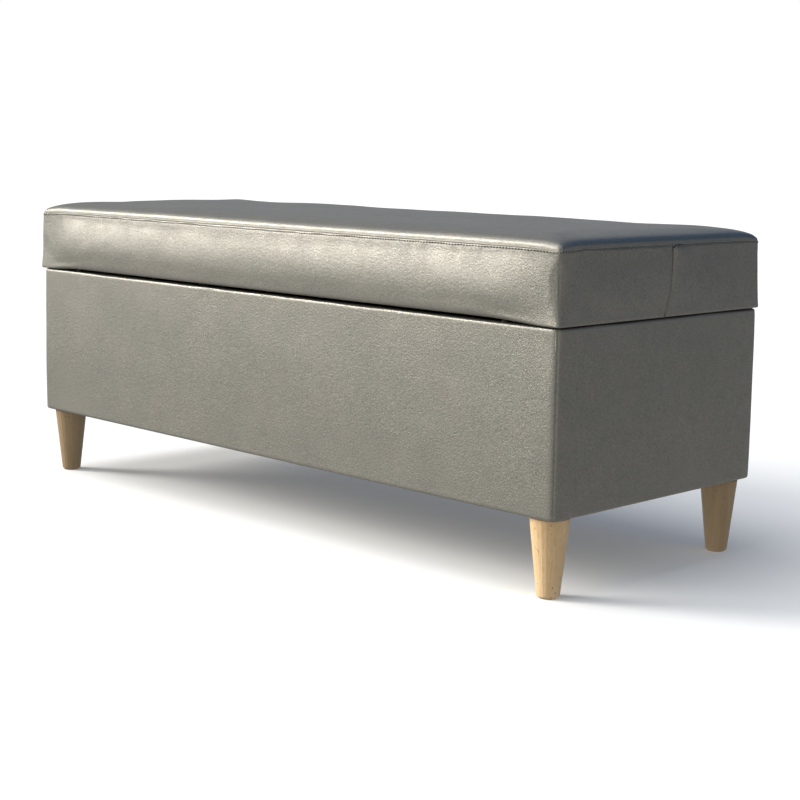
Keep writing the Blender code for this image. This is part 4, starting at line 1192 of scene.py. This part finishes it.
def build_world():
    """A pale studio whose walls differ in tone: bright to the front left, dim to the rear right."""
    world = bpy.data.worlds.new("studio")
    world.use_nodes = True
    nodes, links = world.node_tree.nodes, world.node_tree.links
    nodes.clear()
    place = nodes.new("ShaderNodeTexCoord")

    def facing(direction, low, high, to_low, to_high):
        """How far a direction faces this way, spread over a range."""
        dot = nodes.new("ShaderNodeVectorMath")
        dot.operation = "DOT_PRODUCT"
        links.new(place.outputs["Generated"], dot.inputs[0])
        dot.inputs[1].default_value = Vector(direction).normalized()
        spread = nodes.new("ShaderNodeMapRange")
        spread.interpolation_type = "SMOOTHSTEP"
        links.new(dot.outputs["Value"], spread.inputs["Value"])
        set_inputs(spread, From_Min=low, From_Max=high, To_Min=to_low, To_Max=to_high)
        return spread.outputs["Result"]

    def mixed(factor, first, second):
        mix = nodes.new("ShaderNodeMix")
        mix.data_type = "RGBA"
        links.new(factor, mix.inputs["Factor"])
        for socket, colour in ((mix.inputs[6], first), (mix.inputs[7], second)):
            if isinstance(colour, bpy.types.NodeSocket):
                links.new(colour, socket)
            else:
                socket.default_value = (*colour, 1)
        return mix.outputs[2]

    tone = mixed(facing((-0.30, -0.95, 0.0), 0.0, 1.0, 0, 1), REAR_TONE, FRONT_TONE)
    tone = mixed(facing((-0.72, 0.69, 0.1), 0.70, 0.95, 0, 1), tone, HORIZON_TONE)
    tone = mixed(facing((0.0, 0.0, 1.0), 0.72, 0.95, 0, 1), tone, ZENITH_TONE)
    tone = mixed(facing((0.14, 0.72, 0.66), 0.72, 0.86, 0, 1), tone, NAVY_TONE)
    tone = mixed(facing((0.0, 0.0, -1.0), 0.0, 0.30, 0, 1), tone, GROUND_TONE)
    background = nodes.new("ShaderNodeBackground")
    links.new(tone, background.inputs["Color"])
    background.inputs["Strength"].default_value = 1.0
    backdrop = nodes.new("ShaderNodeBackground")
    backdrop.inputs["Color"].default_value = (1, 1, 1, 1)
    backdrop.inputs["Strength"].default_value = 1.0
    path = nodes.new("ShaderNodeLightPath")
    choose = nodes.new("ShaderNodeMixShader")
    links.new(path.outputs["Is Camera Ray"], choose.inputs["Fac"])
    links.new(background.outputs["Background"], choose.inputs[1])
    links.new(backdrop.outputs["Background"], choose.inputs[2])
    output = nodes.new("ShaderNodeOutputWorld")
    links.new(choose.outputs["Shader"], output.inputs["Surface"])
    bpy.context.scene.world = world


def add_sun(name, direction, strength, softness, colour):
    """A far, soft light: strength in W/m2 and softness as the angle it fills, in degrees."""
    data = bpy.data.lights.new(name, "SUN")
    data.energy = strength
    data.color = colour
    data.angle = math.radians(softness)
    light = bpy.data.objects.new(name, data)
    light.rotation_euler = Vector(direction).to_track_quat("-Z", "Y").to_euler()
    bpy.context.scene.collection.objects.link(light)


def build_studio():
    build_floor()
    build_world()
    add_sun("key", (0.78, 0.53, -0.40), 3.2, 22, (1.0, 0.965, 0.90))
    add_sun("overhead", (0.25, 0.30, -0.92), 1.5, 40, (1.0, 1.0, 1.0))

    data = bpy.data.cameras.new("camera")
    data.lens = CAMERA_LENS
    data.sensor_width = 36
    data.shift_y = CAMERA_SHIFT
    camera = bpy.data.objects.new("camera", data)
    yaw, pitch, roll = CAMERA_YAW, CAMERA_PITCH, CAMERA_ROLL
    forward = Vector((-math.sin(yaw) * math.cos(pitch), math.cos(yaw) * math.cos(pitch), -math.sin(pitch)))
    right = forward.cross(Vector((0, 0, 1))).normalized()
    up = right.cross(forward)
    across = math.cos(roll) * right + math.sin(roll) * up
    upright = -math.sin(roll) * right + math.cos(roll) * up
    turn = Matrix((across, upright, -forward)).transposed().to_4x4()
    camera.matrix_world = Matrix.Translation(CAMERA_PLACE) @ turn
    bpy.context.scene.collection.objects.link(camera)
    bpy.context.scene.camera = camera
    bpy.context.scene.view_settings.view_transform = "Standard"


# ---- the bench

SHARP_ANGLE = math.radians(32)
SLOTS = {entry["node"]: entry["material_slot"] for entry in frame["record"]["subparts"]}
for node_name, node in NODES.items():
    node.data.shade_smooth()
    node.data.set_sharp_from_angle(angle=SHARP_ANGLE)
    node.data.materials.clear()
    # The front right leg gets the beech painted lit, the other beech parts the beech painted in shade
    look = "beech_painted_lit" if node_name == "leg_front_right" else SLOTS[node_name]
    node.data.materials.append(MATERIALS[look])

build_studio()
build_lid_cover()
build_base_sleeve()
build_storage_lining()
build_flat_lining("lid_lining_cloth", "lid_lining", "lid", 0.0007, 41)
build_flat_lining("dust_cover_cloth", "dust_cover", "base", 0.0016, 51)

build_stay_screws()
